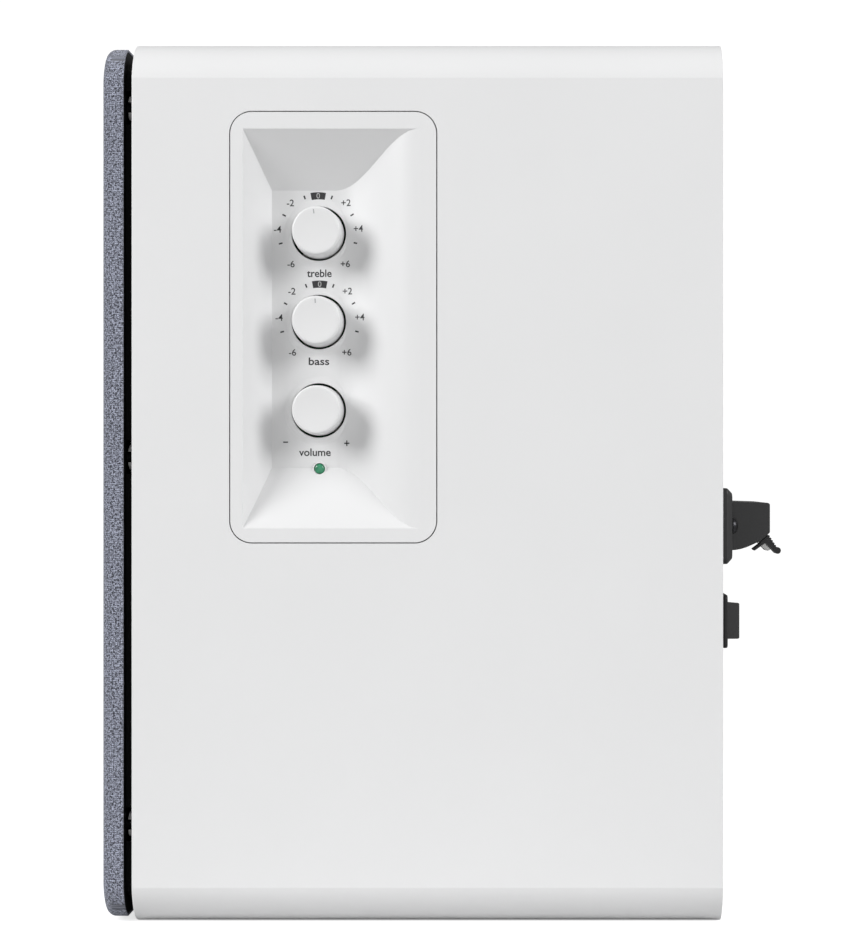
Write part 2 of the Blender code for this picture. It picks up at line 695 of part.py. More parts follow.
def heatsink_profile():
    """The heatsink seen from below, as (x, z): a base against the board, with a row of fins."""
    left, right = SINK_SPAN
    top = AMP_BOARD_HEIGHT - GAP
    root = top - SINK_BASE
    tip = top - FIN_DEPTH
    pitch = (right - left - FIN_THICKNESS) / (SINK_FINS - 1)
    points = [(right, top), (left, top)]
    for fin in range(SINK_FINS):
        start = left + fin * pitch
        points += [(start, tip), (start + FIN_THICKNESS, tip)]
        if fin < SINK_FINS - 1:
            points += [(start + FIN_THICKNESS, root), (start + pitch, root)]
    return points


def build_amplifier(back):
    black = material("amp_plate_black", (0.02, 0.02, 0.02), 0.45, 0.3)
    outline = rounded(AMP_WIDTH, AMP_HEIGHT, 3 * MM, (AMP_X, AMP_Y))
    plate = solid("amp_plate", prism(outline, 0, AMP_PLATE), back, black)
    through = (-2 * MM, 2 * AMP_PLATE)
    holes = [
        prism(rounded(46.6 * MM, 12.6 * MM, GAP, (TERMINAL_X, TERMINAL_Y), 1), *through),
        prism(rounded(19.6 * MM, 13.6 * MM, 1 * MM, (SWITCH_X, SWITCH_Y), 1), *through),
        prism(rounded(20.6 * MM, 12.6 * MM, 1 * MM, (INLET_X, INLET_Y), 1), *through),
    ]
    holes += [prism(circle(4.6 * MM, 14, spot), *through) for spot in socket_places()]
    for end in (-1, 1):
        spot = (TERMINAL_X + end * TERMINAL_SCREW_X, TERMINAL_Y)
        holes.append(prism(circle(SCREW_HOLE, 10, spot), *through))
    change(plate, gathered(holes))

    green = material("amp_board_green", (0.02, 0.1, 0.04), 0.5)
    outline = box_outline((-38 * MM, 38 * MM), (60 * MM, 187 * MM))
    board = prism(outline, AMP_BOARD_HEIGHT, AMP_BOARD_HEIGHT + BOARD_THICKNESS)
    solid("amp_board", board, back, green)
    aluminium = material("heatsink_aluminium", (0.75, 0.76, 0.78), 0.35, 1.0)
    solid("heatsink", along(heatsink_profile(), 140 * MM, 180 * MM), back, aluminium)
    sleeve = material("capacitor_sleeve", (0.03, 0.03, 0.06), 0.4)
    top = AMP_BOARD_HEIGHT - GAP
    bottom = top - CAPACITOR_LENGTH
    bevel = 0.5 * MM
    profile = (
        (CAPACITOR_RADIUS - bevel, bottom),
        (CAPACITOR_RADIUS, bottom + bevel),
        (CAPACITOR_RADIUS, top - bevel),
        (CAPACITOR_RADIUS - bevel, top),
    )
    solid("filter_capacitor", turned(profile, 18), back, sleeve, (-20 * MM, 112 * MM, 0))
    iron = material("transformer_iron", (0.25, 0.25, 0.26), 0.5, 0.9)
    foot = WALL + GAP
    core = prism(box_outline((-8 * MM, 42 * MM), (foot, foot + 40 * MM)), -55 * MM, -35 * MM)
    transformer = solid("transformer", core, back, iron)
    winding = rounded(34 * MM, 25 * MM, 3 * MM, (17 * MM, foot + 20 * MM), 2)
    change(transformer, prism(winding, -66 * MM, -24 * MM), "UNION")


def socket_places():
    half = SOCKET_PITCH / 2
    return [(SOCKET_X + right * half, SOCKET_Y + up * half) for right in (-1, 1) for up in (-1, 1)]


def build_sockets(back):
    black = material("socket_black", (0.02, 0.02, 0.02), 0.4)
    block = prism(rounded(25 * MM, 25 * MM, 1 * MM, (SOCKET_X, SOCKET_Y), 1), -12 * MM, -0.5 * MM)
    sockets = solid("line_in_sockets", block, back, black)
    sleeves = [prism(circle(4.1 * MM, 14, spot), -2 * MM, 6.6 * MM) for spot in socket_places()]
    change(sockets, gathered(sleeves), "UNION")
    bores = [prism(circle(1.7 * MM, 8, spot), -6 * MM, 8 * MM) for spot in socket_places()]
    change(sockets, gathered(bores))

    inlet_black = material("inlet_black", (0.02, 0.02, 0.02), 0.4)
    centre = (INLET_X, INLET_Y)
    face = 3.4 * MM
    body = prism(rounded(20 * MM, 12 * MM, 1 * MM, centre, 1), -16 * MM, face - 0.4 * MM)
    inlet = solid("mains_inlet", body, back, inlet_black)
    change(inlet, prism(rounded(25 * MM, 17 * MM, 2 * MM, centre, 2), AMP_PLATE + GAP, face), "UNION")
    change(inlet, prism(rounded(16 * MM, 9 * MM, 4.4 * MM, centre, 4), -8 * MM, face + 1 * MM))
    pins = []
    for end in (-1, 1):
        spot = (INLET_X + end * 4.3 * MM, INLET_Y)
        pins.append(prism(circle(1.1 * MM, 12, spot), -9 * MM, -2.4 * MM))
    change(inlet, gathered(pins), "UNION")


def build_terminal(back):
    black = material("terminal_black", (0.03, 0.03, 0.032), 0.45)
    centre = (TERMINAL_X, TERMINAL_Y)
    steps = ((0, AMP_PLATE + GAP), (0, 4.7 * MM), (1.5 * MM, TERMINAL_FACE))
    rings = []
    for inset, height in steps:
        sizes = (TERMINAL_WIDTH - 2 * inset, TERMINAL_TALL - 2 * inset, 1.6 * MM)
        rings.append(level(rounded(*sizes, centre, 2), height))
    housing = solid("terminal_housing", loft(rings), back, black)
    half = TERMINAL_BODY_WIDTH / 2
    profile = [
        (TERMINAL_FACE - 1 * MM, 6.9 * MM),
        (TERMINAL_REACH - 0.5 * MM, 6.5 * MM),
        (TERMINAL_REACH, 6 * MM),
        (TERMINAL_REACH, -1.9 * MM),
        (16.6 * MM, -2.6 * MM),
        (14.6 * MM, -4.3 * MM),
        (12.5 * MM, -5.3 * MM),
        (9.1 * MM, -6.6 * MM),
        (TERMINAL_FACE - 1 * MM, -7 * MM),
    ]
    change(housing, across(profile, -half, half), "UNION", location=(*centre, 0))
    behind = prism(rounded(2 * half, 12 * MM, 1 * MM, steps=1), -12 * MM, 4 * MM)
    change(housing, behind, "UNION", location=(*centre, 0))
    holes = []
    for end in (-1, 1):
        holes.append(prism(circle(1.5 * MM, 12, (end * LEVER_SPREAD, 2.4 * MM)), 9 * MM, 20 * MM))
        holes.append(prism(circle(SCREW_HOLE, 10, (end * TERMINAL_SCREW_X, 0)), 0, 10 * MM))
    change(housing, gathered(holes), location=(*centre, 0))
    steel = material("terminal_screw", (0.05, 0.05, 0.05), 0.3, 0.9)
    for number, end in enumerate((-1, 1), 1):
        form = screw_form(*TERMINAL_SCREW)
        place = (TERMINAL_X + end * TERMINAL_SCREW_X, TERMINAL_Y, TERMINAL_FACE)
        solid(f"terminal_screw_{number}", form, back, steel, place)


def lever_profile():
    """The lever seen from the end, as (z, y) from its pivot: a ribbed arm with a ball, and an inner arm."""
    start = (17.07 * MM, -2.8 * MM)
    end = (19.3 * MM, -6.25 * MM)
    slope = math.atan2(end[1] - start[1], end[0] - start[0])
    out = (-math.sin(slope) * LEVER_RIB, math.cos(slope) * LEVER_RIB)
    points = []
    for tooth in range(LEVER_TEETH):
        for share, lift in ((0, 0), (0.55, 1)):
            t = (tooth + share) / LEVER_TEETH
            z = start[0] + (end[0] - start[0]) * t + out[0] * lift
            y = start[1] + (end[1] - start[1]) * t + out[1] * lift
            points.append((z, y))
    points += arc(LEVER_BALL, LEVER_BALL_RADIUS, 95, -125, 8)
    points += [(16.4 * MM, -4.95 * MM), (13.3 * MM, -7.2 * MM), (12.9 * MM, -6.75 * MM)]
    points += [(15 * MM, -5.15 * MM), (15.16 * MM, -4.56 * MM)]
    return [(z - LEVER_PIVOT[0], y - LEVER_PIVOT[1]) for z, y in points]


def build_levers(back):
    colours = {"positive": (0.6, 0.6, 0.59), "negative": (0.02, 0.02, 0.02)}
    for name, side in (("negative", -1), ("positive", 1)):
        plastic = material(f"lever_{name}", colours[name], 0.4)
        form = across(lever_profile(), -LEVER_WIDTH / 2, LEVER_WIDTH / 2)
        place = (TERMINAL_X + side * LEVER_SPREAD, TERMINAL_Y + LEVER_PIVOT[1], LEVER_PIVOT[0])
        solid(f"terminal_lever_{name}", form, back, plastic, place)


def build_switch(back):
    black = material("switch_black", (0.015, 0.015, 0.015), 0.35)
    centre = (SWITCH_X, SWITCH_Y)
    body = prism(rounded(19 * MM, 13 * MM, 1 * MM, centre, 1), -14 * MM, AMP_PLATE + 1 * MM)
    switch = solid("switch_body", body, back, black)
    bezel = prism(rounded(21 * MM, 14.7 * MM, 1.2 * MM, centre, 2), AMP_PLATE + GAP, 3.6 * MM)
    change(switch, bezel, "UNION")
    change(switch, prism(rounded(17.6 * MM, 10.8 * MM, 0.2 * MM, centre, 1), -6 * MM, 5 * MM))
    grey = material("rocker_grey", (0.045, 0.045, 0.045), 0.4)
    profile = [
        (7.2 * MM, -0.8 * MM),
        (7.6 * MM, 7.6 * MM),
        (4 * MM, 6.4 * MM),
        (0, 5.9 * MM),
        (-4 * MM, 6.4 * MM),
        (-7.6 * MM, 7.6 * MM),
        (-7.2 * MM, -0.8 * MM),
    ]
    rocker = solid("switch_rocker", along(profile, -5 * MM, 5 * MM), back, grey, (*centre, ROCKER_PIVOT))
    rocker.rotation_euler = (0, ROCKER_TILT, 0)


def main():
    for obj in list(bpy.data.objects):
        bpy.data.objects.remove(obj)
    front = station("front", (0, FRONT_Y, 0), SEEN_FROM_FRONT)
    side = station("controls", (WIDTH / 2, FRONT_Y, 0), SEEN_FROM_SIDE)
    back = station("back", (0, REAR_Y, 0), SEEN_FROM_BACK)
    build_cabinet(front, side)
    build_baffle(front)
    build_port(front)
    build_grille(front)
    build_woofer(front)
    build_tweeter(front)
    build_control_panel(side)
    for name in KNOB_V:
        build_knob(side, name)
    build_amplifier(back)
    build_sockets(back)
    build_terminal(back)
    build_levers(back)
    build_switch(back)


main()
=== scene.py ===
"""Looks for an active two-way bookshelf speaker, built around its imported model.

The speaker stands on the floor with its grille facing -Y and its controls facing +X. Everything is in
metres, with +Z up. Each sub-assembly is a class that holds its sizes, builds its forms in the axes of
one side of the cabinet and dresses them with finishes. Tables of pairs that go through metres() are in
millimetres.
"""

import json
import logging
import math
from collections.abc import Iterable, Sequence
from dataclasses import dataclass, field
from enum import Enum
from functools import lru_cache

import bmesh
import bpy
from mathutils import Matrix, Vector, noise

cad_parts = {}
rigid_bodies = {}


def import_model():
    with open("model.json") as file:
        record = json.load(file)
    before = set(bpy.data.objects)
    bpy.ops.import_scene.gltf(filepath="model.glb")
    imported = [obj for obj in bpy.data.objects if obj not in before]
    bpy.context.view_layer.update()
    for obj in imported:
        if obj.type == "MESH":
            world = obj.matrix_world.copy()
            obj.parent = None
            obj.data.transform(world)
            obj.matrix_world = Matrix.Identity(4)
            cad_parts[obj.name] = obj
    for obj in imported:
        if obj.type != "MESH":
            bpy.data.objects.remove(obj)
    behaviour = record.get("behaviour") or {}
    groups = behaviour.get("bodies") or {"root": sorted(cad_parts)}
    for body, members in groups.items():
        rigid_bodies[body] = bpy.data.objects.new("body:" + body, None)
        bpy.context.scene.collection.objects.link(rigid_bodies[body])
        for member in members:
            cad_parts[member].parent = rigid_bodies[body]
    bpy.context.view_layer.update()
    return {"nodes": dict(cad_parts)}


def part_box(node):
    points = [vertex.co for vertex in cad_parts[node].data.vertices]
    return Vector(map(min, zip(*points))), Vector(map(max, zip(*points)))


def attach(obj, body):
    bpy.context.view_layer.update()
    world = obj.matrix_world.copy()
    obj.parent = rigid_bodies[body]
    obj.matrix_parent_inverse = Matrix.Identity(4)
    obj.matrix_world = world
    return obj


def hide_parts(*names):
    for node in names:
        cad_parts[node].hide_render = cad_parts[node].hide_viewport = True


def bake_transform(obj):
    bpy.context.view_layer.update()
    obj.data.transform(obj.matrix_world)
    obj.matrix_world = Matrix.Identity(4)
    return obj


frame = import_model()

LOG = logging.getLogger("speaker")
MM = 0.001
GAP = 0.3 * MM
WOOFER_SCREWS = 53.8 * MM
TWEETER_SCREWS = 24 * MM

Colour = tuple[float, float, float]
Flat = tuple[float, float]
Spot = tuple[float, float, float]
Outline = list[Flat]
Ring = list[Spot]
Form = bmesh.types.BMesh


class Body(Enum):
    """The bodies that move on their own."""

    CABINET = "cabinet"
    GRILLE = "grille"
    TREBLE = "treble_control"
    BASS = "bass_control"
    VOLUME = "volume_control"
    WOOFER = "woofer_diaphragm"
    TWEETER = "tweeter_diaphragm"
    POSITIVE = "positive_lever"
    NEGATIVE = "negative_lever"
    ROCKER = "power_rocker"


class Cut(Enum):
    """Ways of combining two solids."""

    REMOVE = "DIFFERENCE"
    ADD = "UNION"
    KEEP = "INTERSECT"


class Layout(Enum):
    """Ways of setting out copies of one form."""

    RING = "ring"
    SPOTS = "spots"


# Stations


@dataclass(frozen=True)
class Station:
    """A frame on one side of the cabinet: X points right, Y up and Z out, seen from that side."""

    origin: Spot
    right: Spot
    out: Spot

    def matrix(self) -> Matrix:
        """The transform from this station to the speaker's frame.

        Returns:
            The matrix.
        """
        right, out = Vector(self.right), Vector(self.out)
        columns = Matrix((right, out.cross(right), out)).transposed()
        return Matrix.Translation(self.origin) @ columns.to_4x4()

    def place(self, form: Form, at: Spot = (0, 0, 0), tilt: float = 0.0) -> Form:
        """Moves a form from this station into the speaker's frame.

        Args:
            form: The form, in this station's axes.
            at: Where its own origin goes, in this station.
            tilt: Turn about the station's Y axis before it is placed, in radians.

        Returns:
            The same form, moved.
        """
        moved = self.matrix() @ Matrix.Translation(at) @ Matrix.Rotation(tilt, 4, "Y")
        bmesh.ops.transform(form, matrix=moved, verts=form.verts)
        return form

    def local(self, point: Sequence[float]) -> Vector:
        """A point of the speaker's frame, in this station."""
        return self.matrix().inverted() @ Vector(point)

    def centre(self, node: str) -> Vector:
        """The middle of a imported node's box, in this station."""
        low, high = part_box(node)
        return self.local((low + high) / 2)


SHELL_LOW, SHELL_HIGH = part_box("cabinet_shell")
FRONT = Station((0, SHELL_LOW.y, 0), (1, 0, 0), (0, -1, 0))
SIDE = Station((SHELL_HIGH.x, SHELL_LOW.y, 0), (0, 1, 0), (1, 0, 0))
BACK = Station((0, SHELL_HIGH.y, 0), (-1, 0, 0), (0, 1, 0))
WIDTH, DEPTH, HEIGHT = SHELL_HIGH - SHELL_LOW


# Outlines


def arc(centre: Flat, radius: float, start: float, end: float, steps: int) -> Outline:
    """Points on an arc, with both ends.

    Args:
        centre: The arc's centre.
        radius: Its radius.
        start: Its first angle, in degrees.
        end: Its last angle, in degrees.
        steps: How many steps it is divided into.

    Returns:
        The points, in order.
    """
    angles = [math.radians(start + (end - start) * i / steps) for i in range(steps + 1)]
    return [(centre[0] + radius * math.cos(a), centre[1] + radius * math.sin(a)) for a in angles]


def circle(radius: float, count: int, centre: Flat = (0, 0)) -> Outline:
    """A circle of count points."""
    return arc(centre, radius, 0, 360 - 360 / count, count - 1)


def rounded(wide: float, tall: float, radius: float, centre: Flat = (0, 0), steps: int = 8) -> Outline:
    """A rectangle with round corners.

    Args:
        wide: Its size along X.
        tall: Its size along Y.
        radius: The corners' radius.
        centre: The rectangle's middle.
        steps: Steps in each corner.

    Returns:
        The points, anticlockwise from the right.
    """
    points: Outline = []
    for corner, (right, up) in enumerate(((1, 1), (-1, 1), (-1, -1), (1, -1))):
        middle = (centre[0] + right * (wide / 2 - radius), centre[1] + up * (tall / 2 - radius))
        points += arc(middle, radius, 90 * corner, 90 * corner + 90, steps)
    return points


def boxed(x_span: Flat, y_span: Flat) -> Outline:
    """A plain rectangle between two spans."""
    return [(x_span[1], y_span[1]), (x_span[0], y_span[1]), (x_span[0], y_span[0]), (x_span[1], y_span[0])]


def metres(points: Iterable[Flat]) -> Outline:
    """Pairs given in millimetres, in metres."""
    return [(first * MM, second * MM) for first, second in points]


# Solids


def loft(rings: Sequence[Ring], closed: bool = False) -> Form:
    """A solid through rings of points.

    Args:
        rings: The rings, each with as many points as the first.
        closed: True joins the last ring to the first, and otherwise the ends are capped.

    Returns:
        The solid, facing outwards.
    """
    form = bmesh.new()
    rows = [[form.verts.new(point) for point in ring] for ring in rings]
    pairs = list(zip(rows, rows[1:]))
    if closed:
        pairs.append((rows[-1], rows[0]))
    else:
        form.faces.new(rows[0])
        form.faces.new(rows[-1])
    for low, high in pairs:
        for i in range(len(low)):
            form.faces.new((low[i - 1], low[i], high[i], high[i - 1]))
    bmesh.ops.recalc_face_normals(form, faces=form.faces)
    return form


def level(outline: Outline, height: float) -> Ring:
    """An outline, at one height along Z."""
    return [(x, y, height) for x, y in outline]


def prism(outline: Outline, low: float, high: float) -> Form:
    """An outline, from one height to another along Z."""
    return loft([level(outline, low), level(outline, high)])


def across(profile: Outline, low: float, high: float) -> Form:
    """A profile of (z, y) points, extruded along X."""
    return loft([[(x, y, z) for z, y in profile] for x in (low, high)])


def along(profile: Outline, low: float, high: float) -> Form:
    """A profile of (x, z) points, extruded along Y."""
    return loft([[(x, y, z) for x, z in profile] for y in (low, high)])


def turned(profile: Outline, count: int = 96, closed: bool = False) -> Form:
    """A profile of (radius, height) points, turned about Z. A closed profile makes a ring."""
    return loft([level(circle(radius, count), height) for radius, height in profile], closed)


def gathered(forms: Iterable[Form]) -> Form:
    """Several separate solids in one form.

    Args:
        forms: The solids, which are used up.

    Returns:
        The form that holds them all.
    """
    whole = bmesh.new()
    for form in forms:
        mesh = bpy.data.meshes.new("gathered")
        form.to_mesh(mesh)
        form.free()
        whole.from_mesh(mesh)
        bpy.data.meshes.remove(mesh)
    return whole


def rods(radius: float, count: int, spots: Iterable[Flat], low: float, high: float) -> Form:
    """Round rods of count sides, one at each spot, from one height to another."""
    return gathered(prism(circle(radius, count, spot), low, high) for spot in spots)


def at(form: Form, *place: float) -> Form:
    """Moves a form within its station."""
    bmesh.ops.translate(form, vec=place, verts=form.verts)
    return form


def spun(form: Form, angle: float) -> Form:
    """Turns a form about Z, by an angle in radians."""
    bmesh.ops.rotate(form, matrix=Matrix.Rotation(angle, 3, "Z"), verts=form.verts)
    return form


def loose(form: Form, name: str) -> bpy.types.Object:
    """A temporary object that holds a form.

    Args:
        form: The form, which is used up.
        name: The object's name.

    Returns:
        The object, linked to the scene.
    """
    mesh = bpy.data.meshes.new(name)
    form.to_mesh(mesh)
    form.free()
    made = bpy.data.objects.new(name, mesh)
    bpy.context.scene.collection.objects.link(made)
    return made


def settled(obj: bpy.types.Object, *helpers: bpy.types.Object) -> Form:
    """The form that an object's modifiers give.

    Args:
        obj: The object, which is removed.
        helpers: Other objects that its modifiers read, which are removed too.

    Returns:
        The form.
    """
    graph = bpy.context.evaluated_depsgraph_get()
    mesh = bpy.data.meshes.new_from_object(obj.evaluated_get(graph))
    form = bmesh.new()
    form.from_mesh(mesh)
    bpy.data.meshes.remove(mesh)
    for old in (obj, *helpers):
        data = old.data
        bpy.data.objects.remove(old)
        bpy.data.meshes.remove(data)
    return form


def carved(form: Form, tool: Form, how: Cut = Cut.REMOVE) -> Form:
    """Cuts one solid from another, joins it on or keeps what they share.

    Args:
        form: The solid to change.
        tool: The solid to change it with, in the same frame.
        how: What to do with it.

    Returns:
        The new solid.
    """
    body, cutter = loose(form, "carved"), loose(tool, "carver")
    modifier = body.modifiers.new("carve", "BOOLEAN")
    modifier.operation = how.value
    modifier.solver = "EXACT"
    modifier.object = cutter
    return settled(body, cutter)


def softened(form: Form, width: float, segments: int = 3, angle: float = 28) -> Form:
    """Rounds a form's edges.

    Args:
        form: The solid.
        width: How wide the rounding is.
        segments: How many faces it has.
        angle: The least bend that counts as an edge, in degrees.

    Returns:
        The rounded solid.
    """
    body = loose(form, "softened")
    modifier = body.modifiers.new("soften", "BEVEL")
    modifier.width = width
    modifier.segments = segments
    modifier.limit_method = "ANGLE"
    modifier.angle_limit = math.radians(angle)
    return settled(body)


# Copies set out by geometry nodes


@lru_cache(maxsize=None)
def copies_tree(layout: Layout) -> bpy.types.NodeTree:
    """The node tree that sets out copies of a form.

    Args:
        layout: RING spreads them round Z, and SPOTS puts one at each of the carrier's points, turned about Z
            by the point's "turn".

    Returns:
        The tree. Its inputs are Form and Finish, with Count, Radius and First Angle for RING.
    """
    tree = bpy.data.node_groups.new(f"{layout.value}_of_copies", "GeometryNodeTree")
    wanted = {"Geometry": "Geometry", "Form": "Object", "Finish": "Material"}
    if layout is Layout.RING:
        wanted |= {"Count": "Int", "Radius": "Float", "First Angle": "Float"}
    for name, kind in wanted.items():
        tree.interface.new_socket(name, in_out="INPUT", socket_type=f"NodeSocket{kind}")
    tree.interface.new_socket("Geometry", in_out="OUTPUT", socket_type="NodeSocketGeometry")
    nodes, links = tree.nodes, tree.links
    given = nodes.new("NodeGroupInput")
    copies = nodes.new("GeometryNodeInstanceOnPoints")
    if layout is Layout.RING:
        places = nodes.new("GeometryNodeMeshCircle")
        links.new(given.outputs["Count"], places.inputs["Vertices"])
        links.new(given.outputs["Radius"], places.inputs["Radius"])
        links.new(places.outputs["Mesh"], copies.inputs["Points"])
    else:
        turn = nodes.new("GeometryNodeInputNamedAttribute")
        turn.data_type = "FLOAT"
        turn.inputs["Name"].default_value = "turn"
        spin = nodes.new("ShaderNodeCombineXYZ")
        links.new(turn.outputs["Attribute"], spin.inputs["Z"])
        links.new(spin.outputs["Vector"], copies.inputs["Rotation"])
        links.new(given.outputs["Geometry"], copies.inputs["Points"])
    form = nodes.new("GeometryNodeObjectInfo")
    links.new(given.outputs["Form"], form.inputs["Object"])
    links.new(form.outputs["Geometry"], copies.inputs["Instance"])
    last = copies.outputs["Instances"]
    if layout is Layout.RING:
        whole = nodes.new("GeometryNodeTransform")
        turn = nodes.new("ShaderNodeCombineXYZ")
        links.new(given.outputs["First Angle"], turn.inputs["Z"])
        links.new(turn.outputs["Vector"], whole.inputs["Rotation"])
        links.new(last, whole.inputs["Geometry"])
        last = whole.outputs["Geometry"]
    real = nodes.new("GeometryNodeRealizeInstances")
    links.new(last, real.inputs["Geometry"])
    dress = nodes.new("GeometryNodeSetMaterial")
    links.new(real.outputs["Geometry"], dress.inputs["Geometry"])
    links.new(given.outputs["Finish"], dress.inputs["Material"])
    result = nodes.new("NodeGroupOutput")
    links.new(dress.outputs["Geometry"], result.inputs["Geometry"])
    return tree


def copied(
    form: Form, layout: Layout, sizes: dict[str, object], spots: Sequence[tuple[Spot, float]] = ()
) -> Form:
    """Copies of a form, as one plain form.

    Args:
        form: What is copied, about its own origin.
        layout: How the copies are set out.
        sizes: The tree's inputs by name, such as Count and Radius.
        spots: Each copy's place and its turn about Z in radians, for SPOTS.

    Returns:
        All the copies, in the same frame.
    """
    pattern = loose(form, "pattern")
    carrier = loose(bmesh.new(), "carrier")
    if spots:
        carrier.data.from_pydata([place for place, _ in spots], [], [])
        turn = carrier.data.attributes.new("turn", "FLOAT", "POINT")
        turn.data.foreach_set("value", [angle for _, angle in spots])
    tree = copies_tree(layout)
    modifier = carrier.modifiers.new("copies", "NODES")
    modifier.node_group = tree
    for item in tree.interface.items_tree:
        value = pattern if item.name == "Form" else sizes.get(item.name)
        if item.in_out == "INPUT" and value is not None:
            modifier[item.identifier] = value
    return settled(carrier, pattern)


# Finishes


class Recipe:
    """One material's node tree, built a node at a time round its Principled shader."""

    def __init__(self, name: str) -> None:
        """Starts a material.

        Args:
            name: Its name.
        """
        self.material = bpy.data.materials.new(name)
        self.material.use_nodes = True
        self.tree = self.material.node_tree
        self.shader = self.tree.nodes["Principled BSDF"]

    def add(
        self, kind: str, inputs: dict[str | int, object] | None = None, **settings: object
    ) -> bpy.types.Node:
        """Adds a node.

        Args:
            kind: The node's type, without its leading ShaderNode.
            inputs: Values or sockets for its inputs, by name or number.
            settings: The node's own properties.

        Returns:
            The node.
        """
        node = self.tree.nodes.new(f"ShaderNode{kind}")
        for key, value in settings.items():
            setattr(node, key, value)
        for key, value in (inputs or {}).items():
            self.feed(node, key, value)
        return node

    def feed(self, node: bpy.types.Node, key: str | int, value: object) -> None:
        """Links a socket to a node's input, or sets the input to a value.

        Args:
            node: The node.
            key: The input's name or number.
            value: The socket or the value.
        """
        if isinstance(value, bpy.types.NodeSocket):
            self.tree.links.new(value, node.inputs[key])
        else:
            node.inputs[key].default_value = value

    def set(self, **inputs: object) -> None:
        """Sets or links inputs of the shader, with _ for each space in a name."""
        for key, value in inputs.items():
            self.feed(self.shader, key.replace("_", " "), value)

    def math(self, operation: str, *values: object) -> bpy.types.NodeSocket:
        """A maths node's result."""
        return self.add("Math", dict(enumerate(values)), operation=operation).outputs[0]

    def place(self, stretch: Spot = (1, 1, 1)) -> bpy.types.NodeSocket:
        """Object coordinates, stretched along each axis."""
        point = self.add("TexCoord").outputs["Object"]
        return self.add("Mapping", {"Vector": point, "Scale": stretch}).outputs[0]

    def noise(self, size: float, detail: float = 2, stretch: Spot = (1, 1, 1)) -> bpy.types.NodeSocket:
        """Smooth noise whose lumps are about that size, in metres."""
        inputs = {"Vector": self.place(stretch), "Scale": 1 / size, "Detail": detail}
        return self.add("TexNoise", inputs).outputs[0]

    def spread(
        self, factor: object, low: float, high: float, ends: Flat = (0.3, 0.7)
    ) -> bpy.types.NodeSocket:
        """Maps a factor between its two ends onto a range of values."""
        inputs = {0: factor, 1: ends[0], 2: ends[1], 3: low, 4: high}
        return self.add("MapRange", inputs).outputs[0]

    def blend(self, factor: object, first: object, second: object) -> bpy.types.NodeSocket:
        """Mixes two colours."""
        inputs = {0: factor, 6: first, 7: second}
        return self.add("Mix", inputs, data_type="RGBA").outputs[2]

    def bump(self, height: object, depth: float, strength: float = 1.0) -> None:
        """Raises the surface by a height that runs from 0 to 1, up to depth metres."""
        inputs = {"Height": height, "Distance": depth, "Strength": strength}
        self.set(Normal=self.add("Bump", inputs).outputs[0])


def tone(colour: Colour, gain: float) -> tuple[float, float, float, float]:
    """A colour made lighter or darker, with full alpha."""
    return (*(min(1.0, part * gain) for part in colour), 1.0)


@dataclass(frozen=True)
class Finish:
    """A surface: its material's name, the speaker's material slot it belongs to, which is not used, colour
    and roughness.
    """

    name: str
    slot: str
    colour: Colour
    roughness: float = 0.5

    def dress(self, recipe: Recipe) -> None:
        """Builds what makes this finish different."""
        raise NotImplementedError

    @lru_cache(maxsize=None)
    def make(self) -> bpy.types.Material:
        """Makes the material, once.

        Returns:
            The material.
        """
        recipe = Recipe(self.name)
        recipe.material.diffuse_color = (*self.colour, 1)
        self.dress(recipe)
        return recipe.material


@dataclass(frozen=True)
class Skin(Finish):
    """A moulded, wrapped or painted surface with a fine grain."""

    grain: float = 0.4 * MM
    depth: float = 0.012 * MM
    mottle: float = 0.03
    shine: float = 0.5

    def dress(self, recipe: Recipe) -> None:
        """Fine grain in the bump, with faint cloudy changes of tone and gloss.

        Args:
            recipe: The material that is being built.
        """
        fine = recipe.noise(self.grain, 3)
        broad = recipe.noise(35 * MM, 3)
        clouds = recipe.math("ADD", recipe.math("MULTIPLY", fine, 0.35), recipe.math("MULTIPLY", broad, 0.65))
        dark, light = tone(self.colour, 1 - self.mottle), tone(self.colour, 1 + self.mottle)
        recipe.set(
            Base_Color=recipe.blend(recipe.spread(clouds, 0, 1), dark, light),
            Roughness=recipe.spread(broad, self.roughness - 0.04, self.roughness + 0.05),
            Specular_IOR_Level=self.shine,
        )
        recipe.bump(fine, self.depth)


@dataclass(frozen=True)
class Metal(Finish):
    """A metal with fine drawn or turned streaks."""

    streak: Spot = (1, 1, 1)
    grain: float = 0.8 * MM
    depth: float = 0.006 * MM

    def dress(self, recipe: Recipe) -> None:
        """Streaks in tone, gloss and bump.

        Args:
            recipe: The material that is being built.
        """
        lines = recipe.noise(self.grain, 4, self.streak)
        stain = recipe.noise(9 * MM, 2)
        base = recipe.blend(recipe.spread(lines, 0, 1), tone(self.colour, 0.86), tone(self.colour, 1.1))
        recipe.set(
            Base_Color=recipe.blend(recipe.spread(stain, 0, 0.25), base, tone(self.colour, 0.7)),
            Roughness=recipe.spread(lines, self.roughness - 0.07, self.roughness + 0.1),
            Metallic=1.0,
        )
        recipe.bump(lines, self.depth)


